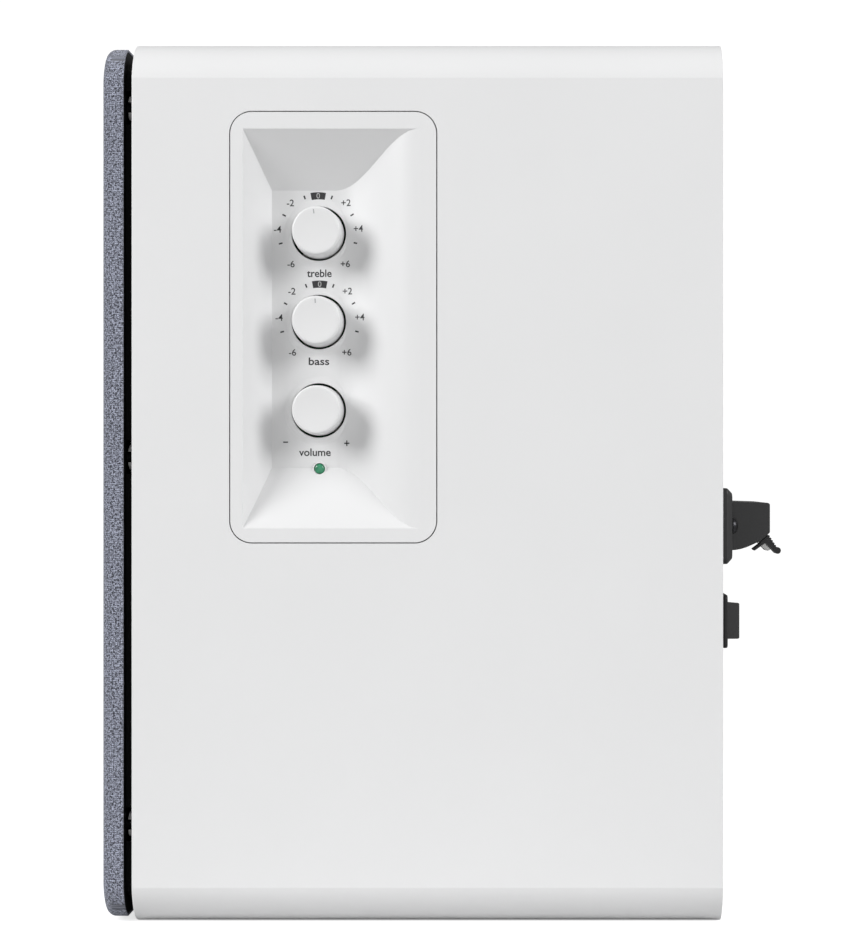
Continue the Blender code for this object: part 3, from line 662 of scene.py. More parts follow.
@dataclass(frozen=True)
class Fibre(Finish):
    """Pressed paper, fleece or felted cloth: fibres that lie in all directions."""

    length: float = 2.5 * MM
    thick: float = 0.25 * MM
    depth: float = 0.06 * MM
    contrast: float = 0.25
    fuzz: float = 0.15

    def dress(self, recipe: Recipe) -> None:
        """Crossed fibres from noise stretched two ways.

        Args:
            recipe: The material that is being built.
        """
        ratio = self.thick / self.length
        first = recipe.noise(self.thick, 3, (1, 1, ratio))
        second = recipe.noise(self.thick, 3, (ratio, 1, 1))
        fibres = recipe.math("MAXIMUM", first, second)
        dark, light = tone(self.colour, 1 - self.contrast), tone(self.colour, 1 + self.contrast)
        recipe.set(
            Base_Color=recipe.blend(recipe.spread(fibres, 0, 1, (0.4, 0.75)), dark, light),
            Roughness=self.roughness,
            Sheen_Weight=self.fuzz,
            Sheen_Roughness=0.5,
        )
        recipe.bump(fibres, self.depth)


@dataclass(frozen=True)
class Banded(Finish):
    """Wire turns or steel sheets that lie side by side."""

    pitch: float = 0.4 * MM
    axis: str = "Y"
    metallic: float = 1.0

    def dress(self, recipe: Recipe) -> None:
        """Bands across one axis, with painted shade that darkens the low part of each band where the bump
        dips.

        Args:
            recipe: The material that is being built.
        """
        scale = math.tau / 20 / self.pitch
        inputs = {"Vector": recipe.place(), "Scale": scale, "Distortion": 0.3, "Detail": 1}
        bands = recipe.add("TexWave", inputs, bands_direction=self.axis).outputs[1]
        stain = recipe.noise(3 * MM)
        # Painted shade: each band's colour goes down to 0.45 of its tone where the bump is lowest, in the
        # grooves between turns and sheets.
        base = recipe.blend(bands, tone(self.colour, 0.45), tone(self.colour, 1))
        recipe.set(
            Base_Color=recipe.blend(recipe.spread(stain, 0, 0.3), base, tone(self.colour, 0.6)),
            Roughness=self.roughness,
            Metallic=self.metallic,
        )
        recipe.bump(bands, 0.05 * MM)


@dataclass(frozen=True)
class Circuit(Finish):
    """A circuit board's lacquer over its tracks."""

    pitch: float = 2.5 * MM

    def dress(self, recipe: Recipe) -> None:
        """Square cells for tracks and round dots for pads.

        Args:
            recipe: The material that is being built.
        """
        inputs = {"Vector": recipe.place(), "Scale": 1 / self.pitch}
        cells = recipe.add("TexVoronoi", inputs, feature="F1", distance="CHEBYCHEV").outputs["Distance"]
        dots = recipe.add("TexVoronoi", inputs, feature="F1").outputs["Distance"]
        track = recipe.spread(cells, 0, 1, (0.42, 0.46))
        pad = recipe.spread(dots, 1, 0, (0.1, 0.13))
        base = recipe.blend(track, tone(self.colour, 1), tone(self.colour, 1.9))
        recipe.set(
            Base_Color=recipe.blend(pad, base, (0.62, 0.6, 0.56, 1)),
            Metallic=recipe.math("MULTIPLY", pad, 0.9),
            Roughness=self.roughness,
        )
        recipe.bump(track, 0.03 * MM)


@dataclass(frozen=True)
class Lens(Finish):
    """A tinted lamp lens that glows a little."""

    glow: float = 0.12

    def dress(self, recipe: Recipe) -> None:
        """A cloudy tint, an even faint glow and a clear coat.

        Args:
            recipe: The material that is being built.
        """
        cloud = recipe.noise(0.9 * MM, 2)
        dark, light = tone(self.colour, 0.75), tone(self.colour, 1.25)
        recipe.set(
            Base_Color=recipe.blend(recipe.spread(cloud, 0, 1), dark, light),
            Roughness=self.roughness,
            Emission_Color=tone(self.colour, 1.6),
            Emission_Strength=self.glow,
            Coat_Weight=0.6,
            Coat_Roughness=0.08,
        )
        recipe.bump(cloud, 0.01 * MM)


@dataclass(frozen=True)
class Weave(Finish):
    """Open plain weave of mottled yarn, laid out on the piece's UV map in metres."""

    pitch: float = 0.5 * MM
    across: float = 1.2
    lengthwise: float = 0.75
    dark: Colour = (0.035, 0.038, 0.05)
    light: Colour = (0.5, 0.53, 0.66)

    def yarn(self, recipe: Recipe, point: bpy.types.NodeSocket, stretch: Spot) -> bpy.types.NodeSocket:
        """The tone along one set of threads, from noise drawn out along them."""
        placed = recipe.add("Mapping", {"Vector": point, "Scale": stretch}).outputs[0]
        return recipe.add("TexNoise", {"Vector": placed, "Scale": 1.0, "Detail": 2}).outputs[0]

    def dress(self, recipe: Recipe) -> None:
        """Threads that pass over and under, each with its own run of tones, with painted shade where they
        dip.

        Args:
            recipe: The material that is being built.
        """
        point = recipe.add("UVMap", uv_map="cloth").outputs[0]
        axes = recipe.add("SeparateXYZ", {0: point})
        turns = math.pi / self.pitch
        waves = [recipe.math("SINE", recipe.math("MULTIPLY", axes.outputs[i], turns)) for i in (0, 1)]
        over = recipe.math("MULTIPLY", recipe.math("MULTIPLY", *waves), 0.45)
        warp = recipe.math("ADD", recipe.math("ABSOLUTE", waves[0]), over)
        weft = recipe.math("SUBTRACT", recipe.math("ABSOLUTE", waves[1]), over)
        height = recipe.math("MAXIMUM", warp, weft)
        top = recipe.math("GREATER_THAN", warp, weft)
        wide, long = self.across / self.pitch, self.lengthwise / self.pitch
        warp_tone = self.yarn(recipe, point, (wide, long, 1))
        weft_tone = self.yarn(recipe, point, (long, wide, 1))
        yarn = recipe.add("Mix", {0: top, 2: weft_tone, 3: warp_tone}).outputs[0]
        mixed = recipe.blend(recipe.spread(yarn, 0, 1, (0.4, 0.6)), tone(self.dark, 1), tone(self.light, 1))
        # Painted shade: the yarn colour is multiplied darker where the weave dips between the threads.
        shade = recipe.spread(height, 0.35, 1.0, (0.15, 0.95))
        shaded = recipe.add("Mix", {0: 1.0, 6: mixed, 7: shade}, data_type="RGBA", blend_type="MULTIPLY")
        recipe.set(
            Base_Color=shaded.outputs[2],
            Roughness=self.roughness,
            Sheen_Weight=0.25,
            Sheen_Roughness=0.4,
        )
        recipe.bump(height, 0.16 * MM)


WHITE = (0.8, 0.802, 0.806)
VINYL = Skin("white_vinyl_wrap", "white_vinyl", WHITE, 0.42, 0.45 * MM, 0.006 * MM, 0.008)
PANEL = Skin("panel_white_plastic", "white_plastic", WHITE, 0.4, 0.25 * MM, 0.004 * MM, 0.006)
KNOB = Skin("knob_white_plastic", "knob_plastic", WHITE, 0.3, 0.25 * MM, 0.003 * MM, 0.006)
BAFFLE_PAINT = Skin(
    "baffle_black_paint", "baffle_board", (0.012, 0.012, 0.013), 0.55, 0.5 * MM, 0.04 * MM, 0.2, 0.4
)
REAR_BOARD = Skin("rear_board_paint", "rear_board", (0.018, 0.018, 0.019), 0.6, 0.6 * MM, 0.05 * MM, 0.2, 0.4)
BLACK = Skin(
    "black_plastic_moulding", "black_plastic", (0.016, 0.016, 0.017), 0.42, 0.3 * MM, 0.01 * MM, 0.12
)
TERMINAL = Skin(
    "terminal_black_plastic", "black_plastic", (0.034, 0.034, 0.035), 0.42, 0.3 * MM, 0.01 * MM, 0.12
)
# Painted shade: the frame's black is set darker than the other black plastic, for the shade in the gap round
# the grille.
FRAME_PAINTED_SHADE = Skin(
    "frame_black_painted_shade", "black_plastic", (0.005, 0.005, 0.0055), 0.6, 0.3 * MM, 0.01 * MM, 0.12, 0.12
)
CUP = Skin("cup_white_plastic", "cup_plastic", (0.72, 0.72, 0.71), 0.45, 0.3 * MM, 0.01 * MM, 0.04)
PALE = Skin("lever_pale_plastic", "pale_plastic", (0.6, 0.6, 0.59), 0.4, 0.3 * MM, 0.008 * MM, 0.04)
ROCKER = Skin("rocker_plastic_grey", "rocker_plastic", (0.04, 0.04, 0.041), 0.38, 0.3 * MM, 0.01 * MM, 0.08)
SOCKET = Skin("socket_plastic_black", "socket_plastic", (0.02, 0.02, 0.02), 0.4, 0.3 * MM, 0.01 * MM, 0.1)
RUBBER = Skin("surround_rubber_black", "rubber", (0.012, 0.012, 0.013), 0.6, 0.35 * MM, 0.015 * MM, 0.2, 0.35)
SLEEVE = Skin(
    "capacitor_sleeve_blue", "capacitor_sleeve", (0.012, 0.016, 0.06), 0.3, 0.5 * MM, 0.006 * MM, 0.1
)
AMP_PAINT = Skin("amp_plate_paint", "plate_black", (0.014, 0.014, 0.015), 0.5, 0.5 * MM, 0.05 * MM, 0.2, 0.45)
INK = Skin("marking_ink", "white_plastic", (0.035, 0.035, 0.037), 0.5, 0.2 * MM, 0.003 * MM, 0.15)
PALE_INK = Skin("marking_ink_pale", "white_plastic", (0.5, 0.5, 0.5), 0.5, 0.2 * MM, 0.003 * MM, 0.08)
# Painted shade: the pointer's grey stands for the shade inside the knob's pointer groove.
POINTER = Skin("pointer_groove_painted_shade", "knob_plastic", (0.42, 0.42, 0.43), 0.5, 0.2 * MM, 0.003 * MM, 0.08)
FERRITE = Skin("ferrite_grey", "ferrite", (0.035, 0.035, 0.04), 0.62, 0.7 * MM, 0.08 * MM, 0.25)
BASKET = Skin("basket_black_enamel", "basket_steel", (0.016, 0.016, 0.017), 0.38, 0.6 * MM, 0.02 * MM, 0.12)
ZINC = Metal("motor_zinc_plate", "zinc_steel", (0.56, 0.55, 0.5), 0.36, (1, 1, 1))
STEEL = Metal("screw_black_steel", "screw_steel", (0.06, 0.06, 0.065), 0.34, (1, 1, 1), 0.3 * MM)
SHAFT = Metal("shaft_bright_steel", "shaft_steel", (0.6, 0.6, 0.61), 0.28, (0.05, 1, 1), 0.3 * MM)
ALUMINIUM = Metal("heatsink_anodised", "aluminium", (0.72, 0.73, 0.75), 0.36, (1, 1, 0.04), 0.4 * MM)
NICKEL = Metal("socket_nickel", "zinc_steel", (0.6, 0.58, 0.52), 0.25, (1, 1, 1), 0.5 * MM)
IRON = Banded("transformer_laminations", "transformer_iron", (0.3, 0.3, 0.31), 0.45, 0.5 * MM, "Y")
COPPER = Banded("voice_coil_copper", "copper", (0.6, 0.24, 0.1), 0.35, 0.35 * MM, "Y")
PAPER = Fibre("cone_pressed_paper", "cone_paper", (0.018, 0.018, 0.02), 0.72)
SILK = Fibre(
    "dome_coated_silk", "dome_silk", (0.018, 0.018, 0.022), 0.5, 0.9 * MM, 0.15 * MM, 0.02 * MM, 0.2, 0.2
)
SPIDER = Fibre(
    "spider_resin_cloth", "spider_cloth", (0.4, 0.27, 0.11), 0.8, 1.2 * MM, 0.3 * MM, 0.05 * MM, 0.2
)
FLEECE = Fibre("wadding_fleece", "wadding", (0.5, 0.5, 0.48), 0.95, 6 * MM, 0.4 * MM, 0.5 * MM, 0.22, 0.5)
LACQUER = Circuit("board_lacquer", "circuit_board", (0.012, 0.075, 0.03), 0.35)
LAMP = Lens("led_green_lens", "led_lens", (0.03, 0.22, 0.11), 0.22)
CLOTH = Weave("grille_mottled_weave", "grille_cloth", (0.2, 0.21, 0.25), 0.85)


# Pieces


def piece(
    name: str,
    form: Form,
    finish: Finish,
    body: Body,
    stands_for: Sequence[str] = (),
    crease: float = 30,
    ride: bool = True,
) -> bpy.types.Object:
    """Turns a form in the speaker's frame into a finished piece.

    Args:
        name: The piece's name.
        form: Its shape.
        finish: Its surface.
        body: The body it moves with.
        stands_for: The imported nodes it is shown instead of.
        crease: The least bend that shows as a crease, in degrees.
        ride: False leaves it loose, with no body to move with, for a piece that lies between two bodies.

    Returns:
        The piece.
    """
    raw = loose(form, name)
    raw.data.shade_smooth()
    raw.data.set_sharp_from_angle(angle=math.radians(crease))
    even = raw.modifiers.new("even", "WEIGHTED_NORMAL")
    even.keep_sharp = True
    graph = bpy.context.evaluated_depsgraph_get()
    mesh = bpy.data.meshes.new_from_object(raw.evaluated_get(graph))
    old = raw.data
    raw.modifiers.clear()
    raw.data = mesh
    bpy.data.meshes.remove(old)
    mesh.name = name
    mesh.materials.clear()
    mesh.materials.append(finish.make())
    if stands_for:
        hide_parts(*stands_for)
    if ride:
        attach(raw, body.value)
    LOG.info("%s: %d faces on %s", name, len(mesh.polygons), body.value)
    return raw


def dress_nodes(finish: Finish, *names: str) -> None:
    """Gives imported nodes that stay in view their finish.

    Args:
        finish: The finish.
        names: The nodes' names.
    """
    for name in names:
        node = frame["nodes"][name]
        node.data.materials.clear()
        node.data.materials.append(finish.make())
        LOG.info("%s: dressed in %s", name, finish.name)


def numbered(stem: str, count: int) -> list[str]:
    """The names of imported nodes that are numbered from 1."""
    return [f"{stem}_{i}" for i in range(1, count + 1)]


# Cabinet


@dataclass
class Cabinet:
    """The wrapped box, its rear board and the wadding inside it."""

    wall: float = 9 * MM
    corner: float = 13 * MM
    turn: float = math.radians(66)
    edge: float = 4 * MM
    edge_corner: float = 8 * MM
    inner_corner: float = 2 * MM
    lip: float = 0.3 * MM
    soft: float = 0.5 * MM
    crisp: float = 0.3
    baffle: float = 12 * MM
    steps: int = 24
    pad_cuts: int = 31
    pad_thickness: float = 0.92
    pad_thinning: float = 0.35
    pad_draw: float = 0.03
    pad_lump: float = 0.8 * MM

    def outline(self, inset: float = 0.0) -> Outline:
        """The cabinet seen from the front: each corner is an arc that meets the flat sides in a faint crease.

        Args:
            inset: How far inside the cabinet's own outline it lies.

        Returns:
            The points, anticlockwise.
        """
        lean = (math.pi / 2 - self.turn) / 2
        reach = self.corner * math.cos(lean)
        first, last = math.degrees(lean), math.degrees(lean + self.turn)
        points: Outline = []
        for corner, (right, up) in enumerate(((1, 1), (-1, 1), (-1, -1), (1, -1))):
            middle = (right * (WIDTH / 2 - reach), HEIGHT / 2 + up * (HEIGHT / 2 - reach))
            points += arc(middle, self.corner - inset, 90 * corner + first, 90 * corner + last, self.steps)
        return points

    def inside(self, margin: float, radius: float) -> Outline:
        """A round-cornered rectangle that lies margin inside the cabinet's sides."""
        middle = (0, HEIGHT / 2)
        return rounded(WIDTH - 2 * margin, HEIGHT - 2 * margin, radius, middle, self.steps)

    def shell(self, panel: "ControlPanel") -> Form:
        """The shell, open at the back, with a rebate for the baffle and one for the control panel.

        Args:
            panel: The panel that the side is cut for.

        Returns:
            The shell, in the speaker's frame.
        """
        lip = self.lip
        quarter = [math.radians(a) for a in range(0, 91, 15)]
        front = [(self.soft * (1 - math.cos(a)), self.soft * (math.sin(a) - 1)) for a in quarter]
        back = [(inset * self.crisp, -DEPTH - height * self.crisp) for inset, height in reversed(front)]
        inner = [
            (self.edge - lip, self.edge_corner + lip, 0),
            (self.edge - 0.3 * lip, self.edge_corner + 0.3 * lip, -0.3 * lip),
            (self.edge, self.edge_corner, -lip),
            (self.edge, self.edge_corner, -self.baffle),
            (self.wall, self.inner_corner, -self.baffle),
            (self.wall, self.inner_corner, -DEPTH),
        ]
        rings = [level(self.outline(inset), height) for inset, height in front]
        rings += [level(self.inside(margin, radius), height) for margin, radius, height in inner]
        rings += [level(self.outline(inset), height) for inset, height in back]
        shell = FRONT.place(loft(rings, closed=True))
        rebate = prism(panel.outline(GAP), -panel.flange - GAP, self.wall)
        opening = prism(panel.opening(), -self.wall - 2 * MM, 0)
        return carved(carved(shell, SIDE.place(rebate)), SIDE.place(opening))

    def wadding(self) -> Form:
        """A slack pad of fleece under the top, with a lumpy surface.

        Returns:
            The pad, in the speaker's frame.
        """
        low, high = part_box("damping_wadding")
        size, middle = high - low, (high + low) / 2
        form = bmesh.new()
        bmesh.ops.create_cube(form, size=1.0)
        bmesh.ops.subdivide_edges(form, edges=form.edges, cuts=self.pad_cuts, use_grid_fill=True)
        for vert in form.verts:
            point = Vector(vert.co)
            thin = 1 - self.pad_thinning * (abs(2 * point.x) ** 8 + abs(2 * point.y) ** 8) / 2
            draw = 1 - self.pad_draw * abs(2 * point.z) ** 2
            lump = noise.noise(point * 9) * self.pad_lump
            vert.co = Vector((
                middle.x + point.x * size.x * draw,
                middle.y + point.y * size.y * draw,
                middle.z + point.z * size.z * thin * self.pad_thickness + lump * (0.5 - point.z),
            ))
        bmesh.ops.recalc_face_normals(form, faces=form.faces)
        return form

    def build(self, panel: "ControlPanel") -> None:
        """Makes the cabinet's own pieces.

        Args:
            panel: The panel that goes into its side.
        """
        piece("cabinet_wrap", self.shell(panel), VINYL, Body.CABINET, ["cabinet_shell"], crease=9)
        pad = piece("wadding_pad", self.wadding(), FLEECE, Body.CABINET, ["damping_wadding"], crease=80)
        dress_nodes(REAR_BOARD, "rear_panel")


# Control panel


@dataclass
class ControlPanel:
    """The white panel in the right side: a flange round a dish, with three knob wells and a lamp.

    U runs back from the cabinet's front edge and V up from the ground.
    """

    plate_u: Flat = (26.1 * MM, 80.5 * MM)
    plate_v: Flat = (101.3 * MM, 215 * MM)
    corner: float = 5.7 * MM
    flange: float = 2.2 * MM
    dish_u: Flat = (29.4 * MM, 76.2 * MM)
    dish_v: Flat = (105 * MM, 210.6 * MM)
    floor_u: Flat = (36.1 * MM, 53.2 * MM)
    floor_v: Flat = (121 * MM, 195.4 * MM)
    room_u: Flat = (1.1 * MM, 2 * MM)
    room_v: Flat = (0.5 * MM, 0.4 * MM)
    depth: float = 11 * MM
    wall: float = 2 * MM
    flare: float = 0.6
    soft: float = 0.9 * MM
    hole: float = 7.3 * MM
    brow_steps: int = 48
    knob_u: float = 48.7 * MM
    knob_v: dict[Body, float] = field(
        default_factory=lambda: {Body.TREBLE: 183.8 * MM, Body.BASS: 160.1 * MM, Body.VOLUME: 136.4 * MM}
    )
    lamp: Flat = (48.9 * MM, 120.8 * MM)
    lamp_hole: float = 1.5 * MM
    lens_radius: float = 1.42 * MM
    lens_bow: float = 0.75 * MM

    def outline(self, grow: float = 0.0) -> Outline:
        """The flange's outline.

        Args:
            grow: How much larger it is on each side.

        Returns:
            The points, anticlockwise.
        """
        middle = (sum(self.plate_u) / 2, sum(self.plate_v) / 2)
        wide = self.plate_u[1] - self.plate_u[0] + 2 * grow
        tall = self.plate_v[1] - self.plate_v[0] + 2 * grow
        return rounded(wide, tall, self.corner + grow, middle, 12)

    def opening(self) -> Outline:
        """The hole in the cabinet's side that the dish goes through."""
        spans = ((self.dish_u, self.room_u), (self.dish_v, self.room_v))
        return boxed(*((low - before, high + after) for (low, high), (before, after) in spans))

    def brow(self, u: float) -> float:
        """The dish's height behind its floor: a curve that leaves the floor and meets the rim smoothly.

        Args:
            u: How far back the point is.

        Returns:
            The height, which is zero at the panel's face.
        """
        share = (u - self.floor_u[1]) / (self.dish_u[1] - self.floor_u[1])
        share = min(1.0, max(0.0, share))
        return -self.depth * (1 + math.cos(math.pi * share)) / 2

    def brim(self, offset: float) -> float:
        """Where the dish's outline ends: over the face for the hollow, and in the flange for its wall."""
        return 1 * MM if offset == 0 else -1.5 * MM

    def section(self, offset: float) -> Outline:
        """The dish from front to back.

        Args:
            offset: How much larger than the hollow it is.

        Returns:
            The points, as (u, height).
        """
        brim, spread = self.brim(offset), offset * self.flare
        points = [(self.dish_u[0] - spread, brim)]
        if offset == 0:
            points.append((self.dish_u[0], 0))
        points.append((self.floor_u[0] - spread, -self.depth - offset))
        for i in range(self.brow_steps + 1):
            u = self.floor_u[1] + (self.dish_u[1] - self.floor_u[1]) * i / self.brow_steps
            points.append((u + spread, self.brow(u) - offset))
        points.append((self.dish_u[1] + spread, brim))
        return points

    def elevation(self, offset: float) -> Outline:
        """The dish from bottom to top.

        Args:
            offset: How much larger than the hollow it is.

        Returns:
            The points, as (v, height).
        """
        brim, spread = self.brim(offset), offset * self.flare
        floor = -self.depth - offset
        foot = [(self.floor_v[0] - spread / 2, floor), (self.floor_v[1] + spread / 2, floor)]
        low, high = (self.dish_v[0] - spread, brim), (self.dish_v[1] + spread, brim)
        if offset == 0:
            return [low, (self.dish_v[0], 0), *foot, (self.dish_v[1], 0), high]
        return [low, *foot, high]

    def hollow(self, offset: float) -> Form:
        """The dish as a solid.

        Args:
            offset: How much larger than the hollow it is.

        Returns:
            The solid, in the side's axes.
        """
        spare = 10 * MM
        trough = along(self.section(offset), self.dish_v[0] - spare, self.dish_v[1] + spare)
        sides = (self.dish_u[0] - spare, self.dish_u[1] + spare)
        walls = loft([[(u, v, w) for v, w in self.elevation(offset)] for u in sides])
        return carved(trough, walls, Cut.KEEP)

    def well_rim(self) -> Form:
        """The low swelling round a knob's hole: a lip that slopes away to the floor.

        Returns:
            The ring, about the knob's axis.
        """
        slope = [(5, -1), (5, 0.3), (7.2, 0.36), (7.32, 0.45), (7.5, 0.48), (7.75, 0.46), (8.05, 0.36)]
        slope += [(8.4, 0.22), (8.8, 0.1), (9.3, 0.02), (9.6, -0.05), (9.6, -1)]
        return turned([(radius, rise - self.depth) for radius, rise in metres(slope)], 96)

    def lamp_ring(self) -> Form:
        """The raised ring round the lamp."""
        ring = [(0.2, -1.9), (1.95, -1.9), (1.9, 0.45), (1.84, 0.65), (1.75, 0.75), (1.6, 0.8), (0.2, 0.8)]
        return turned([(radius, rise - self.depth) for radius, rise in metres(ring)], 48)

    def form(self) -> Form:
        """The whole panel.

        Returns:
            The panel, in the side's axes.
        """
        body = carved(self.hollow(self.wall), prism(self.outline(), -self.flange, 0), Cut.ADD)
        body = softened(carved(body, self.hollow(0)), self.soft, 5)
        knobs = [(self.knob_u, height) for height in self.knob_v.values()]
        rims = [at(self.well_rim(), *spot, 0) for spot in knobs]
        body = carved(body, gathered([*rims, at(self.lamp_ring(), *self.lamp, 0)]), Cut.ADD)
        through = (-self.depth - 5 * MM, -self.depth + 3 * MM)
        holes = [rods(self.hole, 96, knobs, *through), rods(self.lamp_hole, 48, [self.lamp], *through)]
        return carved(body, gathered(holes))

    def lens(self) -> Form:
        """The lamp's lens, which stands a little proud of the dish's floor.

        Returns:
            The lens, about its own axis.
        """
        foot = SIDE.local(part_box("power_led")[0]).z
        base = -self.depth + 0.15 * MM
        rise = [math.radians(a) for a in range(0, 86, 8)]
        bow = [(self.lens_radius * math.cos(a), base + self.lens_bow * math.sin(a)) for a in rise]
        return turned([(self.lens_radius, foot), *bow], 48)

    def build(self) -> None:
        """Makes the panel, its lamp and what is behind it."""
        piece("panel_moulding", SIDE.place(self.form()), PANEL, Body.CABINET, ["control_panel"])
        piece("lamp_lens", SIDE.place(self.lens(), (*self.lamp, 0)), LAMP, Body.CABINET, ["power_led"])
        dress_nodes(LACQUER, "control_board")
        dress_nodes(ZINC, "treble_potentiometer", "bass_potentiometer", "volume_encoder")
        dress_nodes(SHAFT, "treble_shaft", "bass_shaft", "volume_shaft")


@dataclass
class Markings:
    """The printed scales and words on the panel."""

    panel: ControlPanel
    thick: float = 0.03 * MM
    shifts: Flat = (-0.2 * MM, 0.2 * MM)
    bold: float = 0.014
    letters: float = 2.05 * MM
    numbers: float = 1.8 * MM
    ticks: tuple[float, ...] = (20.5, 61.5, 104.5)
    tick_size: tuple[Flat, Flat] = ((-0.2 * MM, 0.2 * MM), (9.9 * MM, 10.9 * MM))
    block: tuple[float, float, float] = (9.2 * MM, 11.15 * MM, 10.8)

    def laid(self, form: Form) -> Form:
        """Lays a flat form on the panel, so that it follows the dish behind the floor.

        Args:
            form: The form, at the height of zero.

        Returns:
            The same form, bent.
        """
        for vert in form.verts:
            vert.co.z += self.panel.brow(vert.co.x)
        return form

    def lettering(self, text: str, heavy: float) -> Form:
        """A word or number as a thin solid of the font's own size.

        Args:
            text: What it says.
            heavy: How much the strokes are thickened, as a share of the size.

        Returns:
            The solid, flat on Z = 0.
        """
        curve = bpy.data.curves.new("word", "FONT")
        curve.body = text
        curve.extrude = self.thick
        curve.offset = heavy
        curve.resolution_u = 6
        holder = bpy.data.objects.new("word", curve)
        bpy.context.scene.collection.objects.link(holder)
        graph = bpy.context.evaluated_depsgraph_get()
        mesh = bpy.data.meshes.new_from_object(holder.evaluated_get(graph))
        form = bmesh.new()
        form.from_mesh(mesh)
        bpy.data.objects.remove(holder)
        bpy.data.curves.remove(curve)
        bpy.data.meshes.remove(mesh)
        bmesh.ops.remove_doubles(form, verts=form.verts, dist=1e-6)
        return form

    def word(self, text: str, centre: Flat, height: float, wide: float = 0.0, heavy: float = 0.0) -> Form:
        """A word or number on the panel.

        Args:
            text: What it says.
            centre: Its middle on the panel.
            height: The height of its tallest letters.
            wide: Its width, or 0 to keep the letters' own proportions.
            heavy: How much the strokes are thickened, as a share of the size.

        Returns:
            The word, in the side's axes.
        """
        form = self.lettering(text, heavy)
        xs, ys = [v.co.x for v in form.verts], [v.co.y for v in form.verts]
        rise = height / (max(ys) - min(ys))
        reach = wide / (max(xs) - min(xs)) if wide else rise
        for vert in form.verts:
            x = (vert.co.x - (max(xs) + min(xs)) / 2) * reach + centre[0]
            y = (vert.co.y - (max(ys) + min(ys)) / 2) * rise + centre[1]
            vert.co = (x, y, vert.co.z)
        return self.laid(form)

    def tick(self, centre: Flat, angle: float) -> Form:
        """A short stroke that points at a knob's centre, angle degrees clockwise from its top."""
        stroke = prism(boxed(*self.tick_size), -self.thick, self.thick)
        return self.laid(at(spun(stroke, -math.radians(angle)), *centre, 0))

    def zero_block(self, centre: Flat) -> Form:
        """The solid patch over the middle of a scale.

        Args:
            centre: The knob's centre.

        Returns:
            The patch, in the side's axes.
        """
        inner, outer, half = self.block
        edge = arc(centre, outer, 90 - half, 90 + half, 14) + arc(centre, inner, 90 + half, 90 - half, 14)
        return self.laid(prism(edge, -self.thick, self.thick))

    def scale(self, centre: Flat) -> list[Form]:
        """The block, ticks and numbers round a tone knob.

        Args:
            centre: The knob's centre.

        Returns:
            The forms, in the side's axes.
        """
        forms = [self.zero_block(centre)]
        forms += [self.tick(centre, side * angle) for side in (-1, 1) for angle in self.ticks]
        for label, angle, reach in (("2", 42, 11.15), ("4", 83.5, 10.95), ("6", 138, 10.9)):
            for side, sign in ((-1, "-"), (1, "+")):
                turn = math.radians(side * angle)
                spot = (centre[0] + reach * MM * math.sin(turn), centre[1] + reach * MM * math.cos(turn))
                forms.append(self.word(sign + label, spot, self.numbers, heavy=0.5 * self.bold))
        return forms

    def build(self) -> None:
        """Makes the dark print and the pale zeros in it."""
        u = self.panel.knob_u
        treble, bass, volume = (self.panel.knob_v[b] for b in (Body.TREBLE, Body.BASS, Body.VOLUME))
        centres = ((u + self.shifts[0], treble), (u + self.shifts[1], bass))
        dark = self.scale(centres[0]) + self.scale(centres[1])
        dark += [
            self.word("treble", (u + 0.1 * MM, treble - 10.6 * MM), self.letters, 6.6 * MM, self.bold),
            self.word("bass", (u, bass - 10.5 * MM), self.letters, 5.5 * MM, self.bold),
            self.word("volume", (u - 1.1 * MM, volume - 11.2 * MM), self.letters, 8.5 * MM, self.bold),
            self.word("-", (u - 8.95 * MM, volume - 8.5 * MM), 0.34 * MM, 1.3 * MM),
            self.word("+", (u + 7.5 * MM, volume - 8.8 * MM), 1.5 * MM, 1.4 * MM, self.bold),
        ]
        piece("panel_markings", SIDE.place(gathered(dark)), INK, Body.CABINET, crease=20)
        pale = [self.word("0", (x, height + 10.2 * MM), 1.45 * MM) for x, height in centres]
        zeros = at(gathered(pale), 0, 0, self.thick)
        piece("panel_zeros", SIDE.place(zeros), PALE_INK, Body.CABINET, crease=20)


